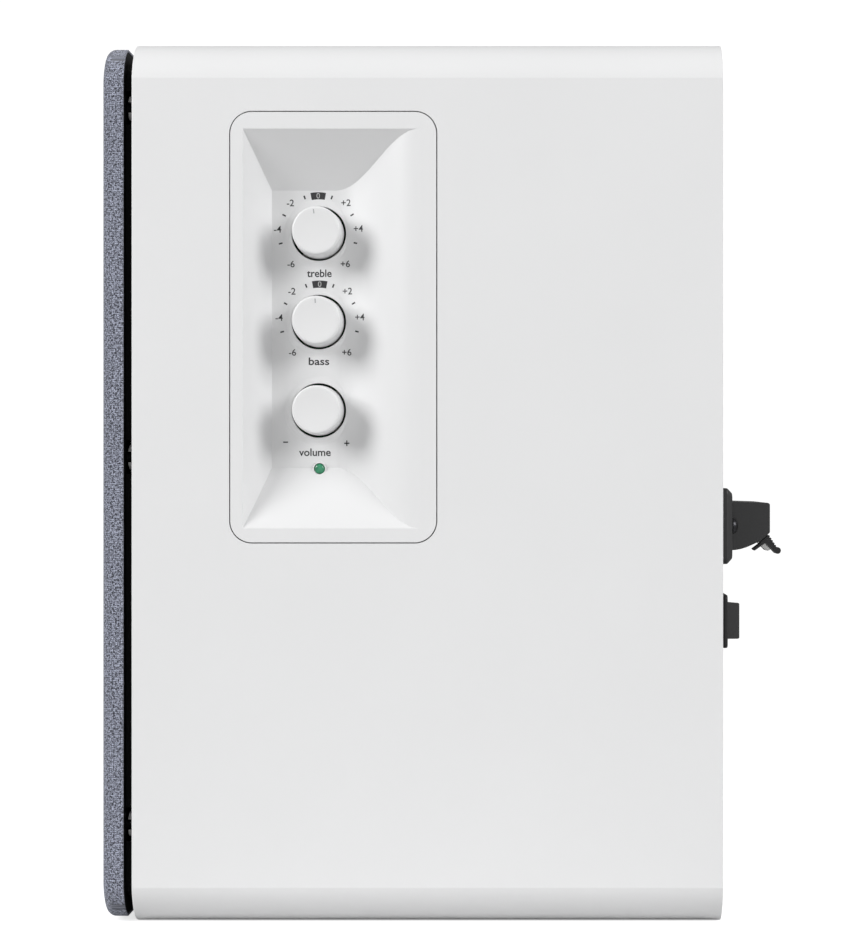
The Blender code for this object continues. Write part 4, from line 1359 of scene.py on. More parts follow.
@dataclass
class Knob:
    """One dished knob, with a pointer line if it has a scale."""

    body: Body
    panel: ControlPanel
    turn: float = 0.0
    radius: float = 6.72 * MM
    waist: float = 6.42 * MM
    round: float = 0.6 * MM
    top: float = -0.6 * MM
    dish: float = 0.35 * MM
    bore: float = 3.3 * MM
    bore_top: float = -2.6 * MM
    skirt: Flat = (-1.6 * MM, 0.4 * MM)
    eye: float = 0.05 * MM
    pointer_span: Flat = (4.5, 1.15)
    pointer_half: float = 0.14 * MM

    def face(self, radius: float) -> float:
        """The dished face.

        Args:
            radius: How far from the axis the point is.

        Returns:
            Its height.
        """
        brim = self.waist - self.round
        share = min(1.0, radius / brim)
        return self.top - self.dish * (1 - share**2) ** 1.2

    def form(self) -> Form:
        """The knob.

        Returns:
            The knob, about its own axis.
        """
        brim = self.waist - self.round
        foot, waist_foot = (height - self.panel.depth for height in self.skirt)
        profile = [(self.eye, self.bore_top), (self.bore, self.bore_top), (self.bore, foot)]
        profile += [(self.radius, foot), (self.radius, waist_foot)]
        profile += arc((brim, self.top - self.round), self.round, 0, 90, 8)
        profile += [(brim * (1 - i / 14), self.face(brim * (1 - i / 14))) for i in range(1, 14)]
        profile.append((self.eye, self.face(0)))
        return turned(profile, 128)

    def pointer(self) -> Form:
        """The thin grey strip near the knob's edge, set where the pointer groove is; its grey is painted
        shade.

        Returns:
            The line, turned to where it points.
        """
        half, (start, length) = self.pointer_half, self.pointer_span
        rings: list[Ring] = []
        for i in range(7):
            y = (start + length * i / 6) * MM
            low, high = self.face(y) - half, self.face(y) + 0.03 * MM
            rings.append([(half, y, low), (half, y, high), (-half, y, high), (-half, y, low)])
        return spun(loft(rings), math.radians(self.turn))

    def build(self) -> None:
        """Makes the knob and its pointer."""
        kind = self.body.value.removesuffix("_control")
        place = (self.panel.knob_u, self.panel.knob_v[self.body], 0)
        piece(f"{kind}_knob_cap", SIDE.place(self.form(), place), KNOB, self.body, [f"{kind}_knob"])
        if self.body is not Body.VOLUME:
            piece(f"{kind}_pointer", SIDE.place(self.pointer(), place), POINTER, self.body)


# Grille


@dataclass
class Grille:
    """The cloth-covered grille with its frame, pegs and the cups that hold them."""

    cabinet: Cabinet
    inset: float = 1 * MM
    reach: float = 7.9 * MM
    rear: float = 2.3 * MM
    cloth: float = 0.6 * MM
    cloth_size: Flat = (156 * MM, 244 * MM)
    round: float = 2.5 * MM
    window: float = 14 * MM
    window_corner: float = 3 * MM
    lip: float = 6.4 * MM
    bar: Flat = (148.5 * MM, 154.5 * MM)
    bar_thick: float = 3 * MM
    notch: float = 4.5 * MM
    peg: float = 1.5 * MM
    peg_length: float = 9 * MM
    cup_side: float = 64.5 * MM
    cup_heights: tuple[float, ...] = (26 * MM, 123.9 * MM, 217 * MM)
    cup_radius: float = 3.3 * MM
    cup_stem: float = 2.9 * MM
    cup_bore: float = 1.8 * MM
    cup_collar: float = 1.7 * MM
    cup_slot: float = 1.45 * MM

    def spots(self) -> list[tuple[Flat, int]]:
        """Where the pegs stand, and which side each is on."""
        return [((side * self.cup_side, height), side) for side in (-1, 1) for height in self.cup_heights]

    def skirt(self) -> Outline:
        """The cloth's edge from the back forwards.

        Returns:
            The points, as (inset, height).
        """
        bend = [
            (self.inset + self.round * (1 - math.cos(a)), self.reach - self.round * (1 - math.sin(a)))
            for a in (math.radians(degrees) for degrees in range(0, 91, 9))
        ]
        return [(self.inset, self.rear), (self.inset, self.rear + 1.3 * MM), *bend]

    def cover(self) -> bpy.types.Object:
        """The stretched cloth, with its weave laid out flat in a UV map.

        Returns:
            The piece.
        """
        outside, thin = self.skirt(), self.cloth
        inside = []
        for inset, height in outside:
            bent = max(0.0, height - (self.reach - self.round)) / self.round
            inside.append((inset + thin * (1 - 0.5 * bent), height - thin * min(1.0, 1.4 * bent)))
        steps = [*reversed(outside), *inside]
        rings = [level(self.cabinet.outline(inset), height) for inset, height in steps]
        made = piece("grille_cover", FRONT.place(loft(rings)), CLOTH, Body.GRILLE, ["grille_cloth"])
        self.unfold(made.data)
        return made

    def unfold(self, mesh: bpy.types.Mesh) -> None:
        """Writes the UV map: the front keeps its place, and the sides fold out round it.

        Args:
            mesh: The cloth's mesh.
        """
        layer = mesh.uv_layers.new(name="cloth")
        edge = self.inset + self.round
        across_x, across_z = WIDTH / 2 - edge, HEIGHT / 2 - edge
        for loop in mesh.loops:
            point = FRONT.local(mesh.vertices[loop.vertex_index].co)
            x, y = point.x, point.y - HEIGHT / 2
            drop = self.reach - point.z
            out = Vector((max(0.0, abs(x) - across_x), max(0.0, abs(y) - across_z)))
            if out.length > 0:
                out = out.normalized() * drop
            layer.data[loop.index].uv = (x + math.copysign(out.x, x), y + math.copysign(out.y, y))

    def shank(self) -> Outline:
        """A peg's profile, from its tip to the frame.

        Returns:
            The points, as (radius, height).
        """
        tip = -self.peg_length
        taper = [(0.9 * MM, tip), (1.3 * MM, tip + 0.5 * MM), (self.peg, tip + 1.2 * MM)]
        return [*taper, (self.peg, self.rear + 1 * MM)]

    def frame_form(self) -> Form:
        """The moulded frame with its cross bar and pegs.

        Returns:
            The frame, in the front's axes.
        """
        side = self.inset + self.cloth + GAP / 2
        top = self.reach - self.cloth - GAP
        steps = [
            (self.lip, GAP),
            (self.lip, self.rear),
            (side, self.rear),
            (side, top - 1.9 * MM),
            (side + 0.3 * MM, top - 1.1 * MM),
            (side + 1.2 * MM, top - 0.3 * MM),
            (side + 2.4 * MM, top),
        ]
        hole = self.cabinet.inside(self.window, self.window_corner)
        rings = [level(self.cabinet.outline(inset), height) for inset, height in steps]
        rings += [level(hole, top), level(hole, GAP)]
        overlap, edge = 2 * MM, WIDTH / 2
        reach = edge - self.window + overlap
        bar = prism(boxed((-reach, reach), self.bar), top - self.bar_thick, top - 0.2 * MM)
        frame_body = carved(loft(rings, closed=True), bar, Cut.ADD)
        notches, pegs = [], []
        for (x, y), right in self.spots():
            first, last = sorted((right * (edge - self.window - overlap), right * edge))
            notch = boxed((first, last), (y - self.notch, y + self.notch))
            notches.append(prism(notch, -1 * MM, self.rear))
            pegs.append(at(turned(self.shank(), 24), x, y, 0))
        return carved(carved(frame_body, gathered(notches)), gathered(pegs), Cut.ADD)

    def cup_form(self) -> Form:
        """One cup: a slotted collar on a stem that goes through the baffle.

        Returns:
            The cup, about its own axis.
        """
        wide, bore, collar = self.cup_radius, self.cup_bore, self.cup_collar
        deep, soft = -self.cabinet.baffle + 1 * MM, 0.3 * MM
        profile = [(wide, GAP), (wide, collar - soft), (wide - 0.1 * MM, collar - 0.1 * MM)]
        profile += [(wide - soft, collar), (bore + soft, collar), (bore, collar - soft)]
        profile += [(bore, deep), (self.cup_stem, deep), (self.cup_stem, GAP)]
        slot = boxed((bore / 2, 2 * wide), (-self.cup_slot, self.cup_slot))
        return carved(turned(profile, 40, closed=True), prism(slot, 2 * GAP, 2 * collar))

    def build(self) -> None:
        """Makes the cloth, the frame and the cups."""
        cloth = self.cover()
        form = softened(self.frame_form(), 0.25 * MM, 2, 40)
        piece("grille_frame_moulding", FRONT.place(form), FRAME_PAINTED_SHADE, Body.GRILLE, ["grille_frame"])
        spots = [((x, y, 0), 0.0 if right > 0 else math.pi) for (x, y), right in self.spots()]
        cups = copied(self.cup_form(), Layout.SPOTS, {"Finish": CUP.make()}, spots)
        piece("grille_cups", FRONT.place(cups), CUP, Body.CABINET, numbered("grille_cup", 6))


# Drivers


def screw(head: float, rise: float, shank: float, length: float) -> Form:
    """A pan-head screw with a cross recess, whose head sits on Z = 0.

    Args:
        head: The head's radius.
        rise: The head's height.
        shank: The shank's radius.
        length: How far the shank goes in.

    Returns:
        The screw.
    """
    dome = [(head * math.cos(a), GAP + (rise - GAP) * math.sin(a)) for a in (0.0, 0.3, 0.6, 0.9, 1.2, 1.5)]
    form = turned([(shank * 0.3, -length), (shank, -length + shank), (shank, GAP), *dome], 32)
    long, wide = head * 0.55, head * 0.12
    bars = [prism(boxed((-x, x), (-y, y)), rise * 0.35, rise * 2) for x, y in ((long, wide), (wide, long))]
    return carved(form, carved(*bars, Cut.ADD))


@dataclass
class Baffle:
    """The black front board with the port in it."""

    cabinet: Cabinet
    woofer_v: float = 90 * MM
    tweeter_v: float = 186 * MM
    woofer_recess: float = 57.3 * MM
    woofer_hole: float = 47.6 * MM
    tweeter_recess: float = 30.3 * MM
    tweeter_hole: float = 21 * MM
    recess: float = 2.7 * MM
    cup_hole: float = 3.2 * MM
    screw_hole: float = 1.6 * MM
    port_v: float = 22 * MM
    port_wide: float = 62.4 * MM
    port_tall: float = 13.4 * MM
    port_length: float = 90 * MM
    port_wall: float = 1.8 * MM

    def slot(self, grow: float, radius: float) -> Outline:
        """The port's outline, larger by grow on each side."""
        wide, tall = self.port_wide + 2 * grow, self.port_tall + 2 * grow
        return rounded(wide, tall, radius, (0, self.port_v), 16)

    def board(self, grille: Grille) -> Form:
        """The board, recessed and bored for everything it carries.

        Args:
            grille: The grille whose cups go into it.

        Returns:
            The board, in the front's axes.
        """
        outline = self.cabinet.inside(self.cabinet.edge + GAP, self.cabinet.edge_corner - GAP)
        board = prism(outline, GAP - self.cabinet.baffle, 0)
        woofer, tweeter = (0, self.woofer_v), (0, self.tweeter_v)
        below, above = -21 * MM, 9 * MM
        recesses = [
            prism(circle(self.woofer_recess, 128, woofer), -self.recess, above),
            prism(circle(self.tweeter_recess, 96, tweeter), -self.recess, above),
            prism(self.slot(2 * MM, 8.6 * MM), -1.6 * MM, above),
        ]
        cups = [spot for spot, _ in grille.spots()]
        small = arc(woofer, WOOFER_SCREWS, 45, 315, 3) + arc(tweeter, TWEETER_SCREWS, 90, 330, 2)
        holes = [
            prism(circle(self.woofer_hole, 128, woofer), below, above),
            prism(circle(self.tweeter_hole, 96, tweeter), below, above),
            prism(self.slot(GAP, 6.7 * MM), below, above),
            rods(self.cup_hole, 32, cups, below, above),
            rods(self.screw_hole, 16, small, below, above),
        ]
        return carved(carved(board, gathered(recesses)), gathered(holes))

    def port(self) -> Form:
        """The slot-shaped port tube with its flared mouth.

        Returns:
            The tube, in the front's axes.
        """
        wide, tall, wall = self.port_wide, self.port_tall, self.port_wall
        rim, bevel, deep = 3.2 * MM, 0.5 * MM, -self.port_length
        flange, inner = (wide + rim, tall + rim), (wide - 2 * wall, tall - 2 * wall)
        steps = [(flange, -0.25 * MM), (flange, -1.2 * MM), ((wide, tall), -1.3 * MM)]
        steps += [((wide, tall), deep), (inner, deep)]
        for a in (math.radians(degrees) for degrees in range(0, 91, 15)):
            flare = wall * (1 - math.cos(a)) * 1.3
            steps.append(((inner[0] + 2 * flare, inner[1] + 2 * flare), -2.6 * MM * (1 - math.sin(a))))
        steps.append(((flange[0] - bevel, flange[1] - bevel), 0))
        middle = (0, self.port_v)
        rings = [level(rounded(*size, size[1] / 2 - 0.01 * MM, middle, 16), height) for size, height in steps]
        return loft(rings, closed=True)

    def build(self, grille: Grille) -> None:
        """Makes the board and the port."""
        piece("baffle_board", FRONT.place(self.board(grille)), BAFFLE_PAINT, Body.CABINET, ["front_baffle"])
        piece("port_moulding", FRONT.place(self.port()), BLACK, Body.CABINET, ["port_tube"])


@dataclass
class Driver:
    """What both drivers share: a place on the baffle and a ring of screws."""

    centre: Spot

    def placed(self, form: Form) -> Form:
        """A form moved from the driver's own axes into the speaker's frame."""
        return FRONT.place(form, self.centre)

    def screws(self, kind: str, count: int, radius: float, first: float, length: float) -> None:
        """Makes the ring of screws that holds the driver.

        Args:
            kind: Which driver it is.
            count: How many screws there are.
            radius: The ring's radius.
            first: The first screw's angle, in radians.
            length: How far they go in.
        """
        sizes = {"Count": count, "Radius": radius, "First Angle": first, "Finish": STEEL.make()}
        form = copied(screw(2.5 * MM, 1.6 * MM, 1.3 * MM, length), Layout.RING, sizes)
        nodes = numbered(f"{kind}_screw", count)
        piece(f"{kind}_screws", self.placed(form), STEEL, Body.CABINET, nodes)


@dataclass
class Woofer(Driver):
    """The woofer: basket, motor, cone, surround and spider. Heights are from the baffle's face."""

    coil: float = 10.8 * MM
    coil_wall: float = 0.8 * MM
    cone: Flat = (11.2 * MM, 40 * MM)
    cone_thick: float = 0.8 * MM
    spider_from: float = 11.4 * MM
    spider_spread: float = 20.6 * MM

    def basket(self) -> Form:
        """The pressed frame, with four windows in its sides.

        Returns:
            The basket, about its own axis.
        """
        profile = [
            (57, -0.4), (57, -2.2), (46.8, -2.2), (31.4, -31.2), (17, -31.2), (17, -30), (30.6, -30),
            (45.9, -1.4), (46.3, -0.5), (46.6, 0), (56.6, 0),
        ]
        basket = turned(metres(profile), 128, closed=True)
        window = rounded(32 * MM, 30 * MM, 3 * MM, (44 * MM, 0), 6)
        turns = (0, math.pi / 2, math.pi, -math.pi / 2)
        windows = gathered(spun(prism(window, -23 * MM, -6 * MM), turn) for turn in turns)
        holes = rods(1.9 * MM, 24, arc((0, 0), WOOFER_SCREWS, 45, 315, 3), -4 * MM, 2 * MM)
        return carved(carved(basket, windows), holes)

    def surround(self) -> Form:
        """The rubber roll between the cone and the basket.

        Returns:
            The roll, about its own axis.
        """
        centre = (43.2 * MM, -1 * MM)
        profile = [(37.8 * MM, -2.2 * MM), *arc(centre, 3.5 * MM, 198, 27, 20), (51 * MM, 0.9 * MM)]
        profile += [(51 * MM, GAP), (46.9 * MM, GAP), *arc(centre, 2.9 * MM, 18, 205, 20)]
        profile += [(40.2 * MM, -2.8 * MM), (37.8 * MM, -2.8 * MM)]
        return turned(profile, 128, closed=True)

    def cone_form(self) -> Form:
        """The paper cone, with a few faint ribs pressed round it.

        Returns:
            The cone, about its own axis.
        """
        rows, ribs, (inner, outer) = 24, 10, self.cone
        front, back = [], []
        for share in (i / rows for i in range(rows + 1)):
            radius = inner + (outer - inner) * share
            bow = -22 * MM + 18 * MM * share**0.92
            rib = 0.12 * MM * math.sin(share * math.pi * ribs) if 0.15 < share < 0.9 else 0.0
            back.append((radius, bow + rib))
            front.append((radius, bow + rib + self.cone_thick))
        return turned([*back, *reversed(front)], 128, closed=True)

    def cap_form(self) -> Form:
        """The domed dust cap.

        Returns:
            The cap, about its own axis.
        """
        angles = [math.radians(a) for a in range(1, 91, 6)]
        outer = [(14 * MM * math.sin(a), (-18.9 + 4.9 * math.cos(a)) * MM) for a in angles]
        inner = [(r * 0.97, h - 0.4 * MM) for r, h in outer[:-1]]
        return turned([*outer, *reversed(inner)], 96)

    def coil_form(self) -> Form:
        """The voice coil's tube."""
        inner, low, high = self.coil - self.coil_wall, -45 * MM, -19.5 * MM
        return turned([(self.coil, low), (self.coil, high), (inner, high), (inner, low)], 96, closed=True)

    def spider(self) -> Form:
        """The corrugated cloth disc that centres the coil.

        Returns:
            The disc, about its own axis.
        """
        count, first, spread = 60, self.spider_from, self.spider_spread
        heights = [(-26 + 0.9 * math.sin(math.pi * i / 5)) * MM for i in range(count + 1)]
        wave = [(first + spread * i / count, height) for i, height in enumerate(heights)]
        under = [(radius, height - 0.5 * MM) for radius, height in reversed(wave)]
        return turned([*wave, *under], 96, closed=True)

    def motor(self) -> None:
        """Makes the magnet, the plate in front of it and the yoke behind it."""
        for name, profile, finish in (
            ("top_plate", [(36, -36.7), (36, -31.5), (11.4, -31.5), (11.4, -36.7)], ZINC),
            ("magnet", [(38, -51), (38, -37), (17, -37), (17, -51)], FERRITE),
        ):
            form = softened(turned(metres(profile), 96, closed=True), 0.4 * MM)
            piece(f"woofer_{name}_ring", self.placed(form), finish, Body.CABINET, [f"woofer_{name}"])
        pole = softened(turned(metres([(36, -57), (36, -51.3), (9.4, -51.3), (9.4, -32)]), 96), 0.4 * MM)
        piece("woofer_pole", self.placed(pole), ZINC, Body.CABINET, ["woofer_yoke"])

    def build(self) -> None:
        """Makes the woofer."""
        fixed, moving, place = Body.CABINET, Body.WOOFER, self.placed
        piece("woofer_frame", place(self.basket()), BASKET, fixed, ["woofer_basket"])
        ring = piece("woofer_roll", place(self.surround()), RUBBER, fixed, ["woofer_surround"], ride=False)
        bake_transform(ring)
        piece("woofer_centring", place(self.spider()), SPIDER, fixed, ["woofer_spider"])
        piece("woofer_cone_paper", place(self.cone_form()), PAPER, moving, ["woofer_cone"])
        piece("woofer_cap", place(self.cap_form()), PAPER, moving, ["woofer_dust_cap"])
        piece("woofer_coil", place(self.coil_form()), COPPER, moving, ["woofer_voice_coil"])
        self.screws("woofer", 4, WOOFER_SCREWS, math.pi / 4, 10 * MM)
        self.motor()


@dataclass
class Tweeter(Driver):
    """The tweeter: face plate, dome and magnet."""

    def plate(self) -> Form:
        """The face plate with its shallow horn.

        Returns:
            The plate, about its own axis.
        """
        horn = [(17 - 7.2 * i / 12, -2.2 * (1 - math.cos(math.pi / 2 * i / 12))) for i in range(13)]
        profile = [(30, -2.2), (30, -0.5), (29.8, -0.2), (29.4, 0), *horn]
        holes = rods(1.9 * MM, 24, arc((0, 0), TWEETER_SCREWS, 90, 330, 2), -4 * MM, 2 * MM)
        return carved(turned(metres(profile), 96, closed=True), holes)

    def dome(self) -> Form:
        """The silk dome and its own small roll.

        Returns:
            The dome, about its own axis.
        """
        angles = [math.radians(a) for a in range(1, 79, 6)]
        outer = [(6.7 * math.sin(a), -2.4 + 3 * math.cos(a)) for a in angles]
        outer += [(6.9, -1.7), (7.3, -1.3), (7.8, -1.05), (8.4, -1.1), (8.9, -1.4), (9.3, -1.9)]
        inner = [(r - 0.08, h - 0.3) for r, h in outer[1:]]
        return turned(metres([*outer, *reversed(inner), (0.1, 0.3)]), 96)

    def build(self) -> None:
        """Makes the tweeter."""
        piece("tweeter_plate", self.placed(self.plate()), BLACK, Body.CABINET, ["tweeter_faceplate"])
        piece("tweeter_silk", self.placed(self.dome()), SILK, Body.TWEETER, ["tweeter_dome"])
        self.screws("tweeter", 3, TWEETER_SCREWS, math.pi / 2, 9 * MM)
        motor = turned(metres([(19.5, -19), (20, -18.5), (20, -3), (19.5, -2.7)]), 96)
        form = softened(motor, 0.4 * MM)
        piece("tweeter_motor", self.placed(form), FERRITE, Body.CABINET, ["tweeter_magnet"])


# Back


@dataclass
class Amplifier:
    """The amplifier's plate, with the switch, the mains inlet and the sockets in it."""

    wide: float = 93 * MM
    tall: float = 150 * MM
    centre: Flat = (-0.5 * MM, 123 * MM)
    thick: float = 2 * MM
    terminal: Flat = (2 * MM, 104.7 * MM)
    terminal_screw: float = 25.9 * MM
    switch: Flat = (-32.5 * MM, 78.7 * MM)
    rocker_tilt: float = math.radians(9)
    inlet: Flat = (20 * MM, 70 * MM)
    inlet_face: float = 3.4 * MM
    inlet_pin: float = 4.3 * MM
    sockets: Flat = (28.5 * MM, 172 * MM)
    pitch: float = 14 * MM

    def socket_spots(self) -> list[Flat]:
        """The four sockets' centres."""
        half = self.pitch / 2
        return [(self.sockets[0] + x * half, self.sockets[1] + y * half) for x in (-1, 1) for y in (-1, 1)]

    def at_sockets(self, form: Form, finish: Finish) -> Form:
        """A copy of a form at each socket."""
        spots = [((*spot, 0.0), 0.0) for spot in self.socket_spots()]
        return copied(form, Layout.SPOTS, {"Finish": finish.make()}, spots)

    def plate(self) -> Form:
        """The plate, cut for what goes through it.

        Returns:
            The plate, in the back's axes.
        """
        plate = prism(rounded(self.wide, self.tall, 3 * MM, self.centre), 0, self.thick)
        span = (-2 * MM, 2 * self.thick)
        x, y = self.terminal
        ends = [(x + end * self.terminal_screw, y) for end in (-1, 1)]
        holes = [
            prism(rounded(46.6 * MM, 12.6 * MM, GAP, self.terminal, 2), *span),
            prism(rounded(19.6 * MM, 13.6 * MM, 1 * MM, self.switch, 4), *span),
            prism(rounded(20.6 * MM, 12.6 * MM, 1 * MM, self.inlet, 4), *span),
            rods(4.6 * MM, 48, self.socket_spots(), *span),
            rods(1.6 * MM, 16, ends, *span),
        ]
        return carved(softened(plate, 0.4 * MM, 3), gathered(holes))

    def plate_screws(self) -> Form:
        """The small screws round the plate's edge.

        Returns:
            The screws, in the back's axes.
        """
        (x, y), edge, sunk = self.centre, 4 * MM, self.thick - 0.65 * MM
        half_wide, half_tall = self.wide / 2 - edge, self.tall / 2 - edge
        spots = [
            ((x + across_x * half_wide, y + up * half_tall, sunk), 0.7 * across_x + 1.9 * up)
            for across_x in (-1, 1)
            for up in (-1, -0.33, 0.33, 1)
        ]
        form = screw(1.9 * MM, 0.9 * MM, 0.9 * MM, 1.2 * MM)
        return copied(form, Layout.SPOTS, {"Finish": STEEL.make()}, spots)

    def socket_block(self) -> Form:
        """The block behind the plate with its four plastic collars.

        Returns:
            The block, in the back's axes.
        """
        block = prism(rounded(25 * MM, 25 * MM, 1 * MM, self.sockets, 3), -12 * MM, -0.5 * MM)
        collar = softened(prism(circle(4.3 * MM, 48), -2 * MM, 3.4 * MM), 0.3 * MM, 2)
        bores = rods(3.2 * MM, 32, self.socket_spots(), 0.4 * MM, 8 * MM)
        return carved(carved(block, self.at_sockets(collar, SOCKET), Cut.ADD), bores)

    def socket_barrels(self) -> Form:
        """The bright barrels that plugs push on to, bored for the pin.

        Returns:
            The barrels, in the back's axes.
        """
        outside = [(1.6, 0.5), (3.1, 0.5), (3.1, 6.0), (2.9, 6.4), (2.5, 6.6)]
        profile = metres([*outside, (2.1, 6.6), (1.8, 6.4), (1.6, 6.0)])
        return self.at_sockets(turned(profile, 48, closed=True), NICKEL)

    def inlet_form(self) -> Form:
        """The mains inlet.

        Returns:
            The inlet, in the back's axes.
        """
        face = self.inlet_face
        body = prism(rounded(20 * MM, 12 * MM, 1 * MM, self.inlet, 3), -16 * MM, face - 0.4 * MM)
        bezel = prism(rounded(25 * MM, 17 * MM, 2 * MM, self.inlet, 6), self.thick + GAP, face)
        body = carved(body, softened(bezel, 0.35 * MM), Cut.ADD)
        mouth = rounded(16 * MM, 9 * MM, 4.4 * MM, self.inlet, 12)
        return carved(body, prism(mouth, -8 * MM, face + 1 * MM))

    def inlet_pins(self) -> Form:
        """The mains inlet's two pins.

        Returns:
            The pins, in the back's axes.
        """
        x, y = self.inlet
        pin = turned(metres([(1.1, -8), (1.1, -3.2), (0.9, -2.7), (0.4, -2.4)]), 32)
        spots = [((x + side * self.inlet_pin, y, 0.0), 0.0) for side in (-1, 1)]
        return copied(pin, Layout.SPOTS, {"Finish": NICKEL.make()}, spots)

    def switch_form(self) -> Form:
        """The switch's body and bezel.

        Returns:
            The switch without its rocker, in the back's axes.
        """
        body = prism(rounded(19 * MM, 13 * MM, 1 * MM, self.switch, 3), -14 * MM, self.thick + 1 * MM)
        bezel = prism(rounded(21 * MM, 14.7 * MM, 1.2 * MM, self.switch, 6), self.thick + GAP, 3.6 * MM)
        body = carved(body, softened(bezel, 0.4 * MM), Cut.ADD)
        return carved(body, prism(rounded(17.6 * MM, 10.8 * MM, 0.2 * MM, self.switch, 2), -6 * MM, 5 * MM))

    def rocker(self) -> Form:
        """The rocker, hollowed towards its middle.

        Returns:
            The rocker, about its own pivot.
        """
        face = [(7.6 - 15.2 * i / 24, 5.9 + 1.75 * ((i - 12) / 12) ** 2) for i in range(25)]
        profile = metres([(7.2, -0.8), *face, (-7.2, -0.8)])
        return softened(along(profile, -5 * MM, 5 * MM), 0.35 * MM, 3, 40)

    def build(self) -> None:
        """Makes the plate and what it carries."""
        fixed = Body.CABINET
        for name, form, finish, nodes in (
            ("amp_cover", self.plate(), AMP_PAINT, ["amp_plate"]),
            ("amp_cover_screws", self.plate_screws(), STEEL, []),
            ("socket_block", self.socket_block(), SOCKET, ["line_in_sockets"]),
            ("socket_barrels", self.socket_barrels(), NICKEL, []),
            ("inlet_moulding", self.inlet_form(), SOCKET, ["mains_inlet"]),
            ("inlet_pins", self.inlet_pins(), NICKEL, []),
            ("switch_bezel", self.switch_form(), BLACK, ["switch_body"]),
        ):
            piece(name, BACK.place(form), finish, fixed, nodes)
        rocker = BACK.place(self.rocker(), (*self.switch, -1.5 * MM), self.rocker_tilt)
        piece("switch_button", rocker, ROCKER, Body.ROCKER, ["switch_rocker"])
        dress_nodes(LACQUER, "amp_board")
        dress_nodes(ALUMINIUM, "heatsink")
        dress_nodes(SLEEVE, "filter_capacitor")
        dress_nodes(IRON, "transformer")


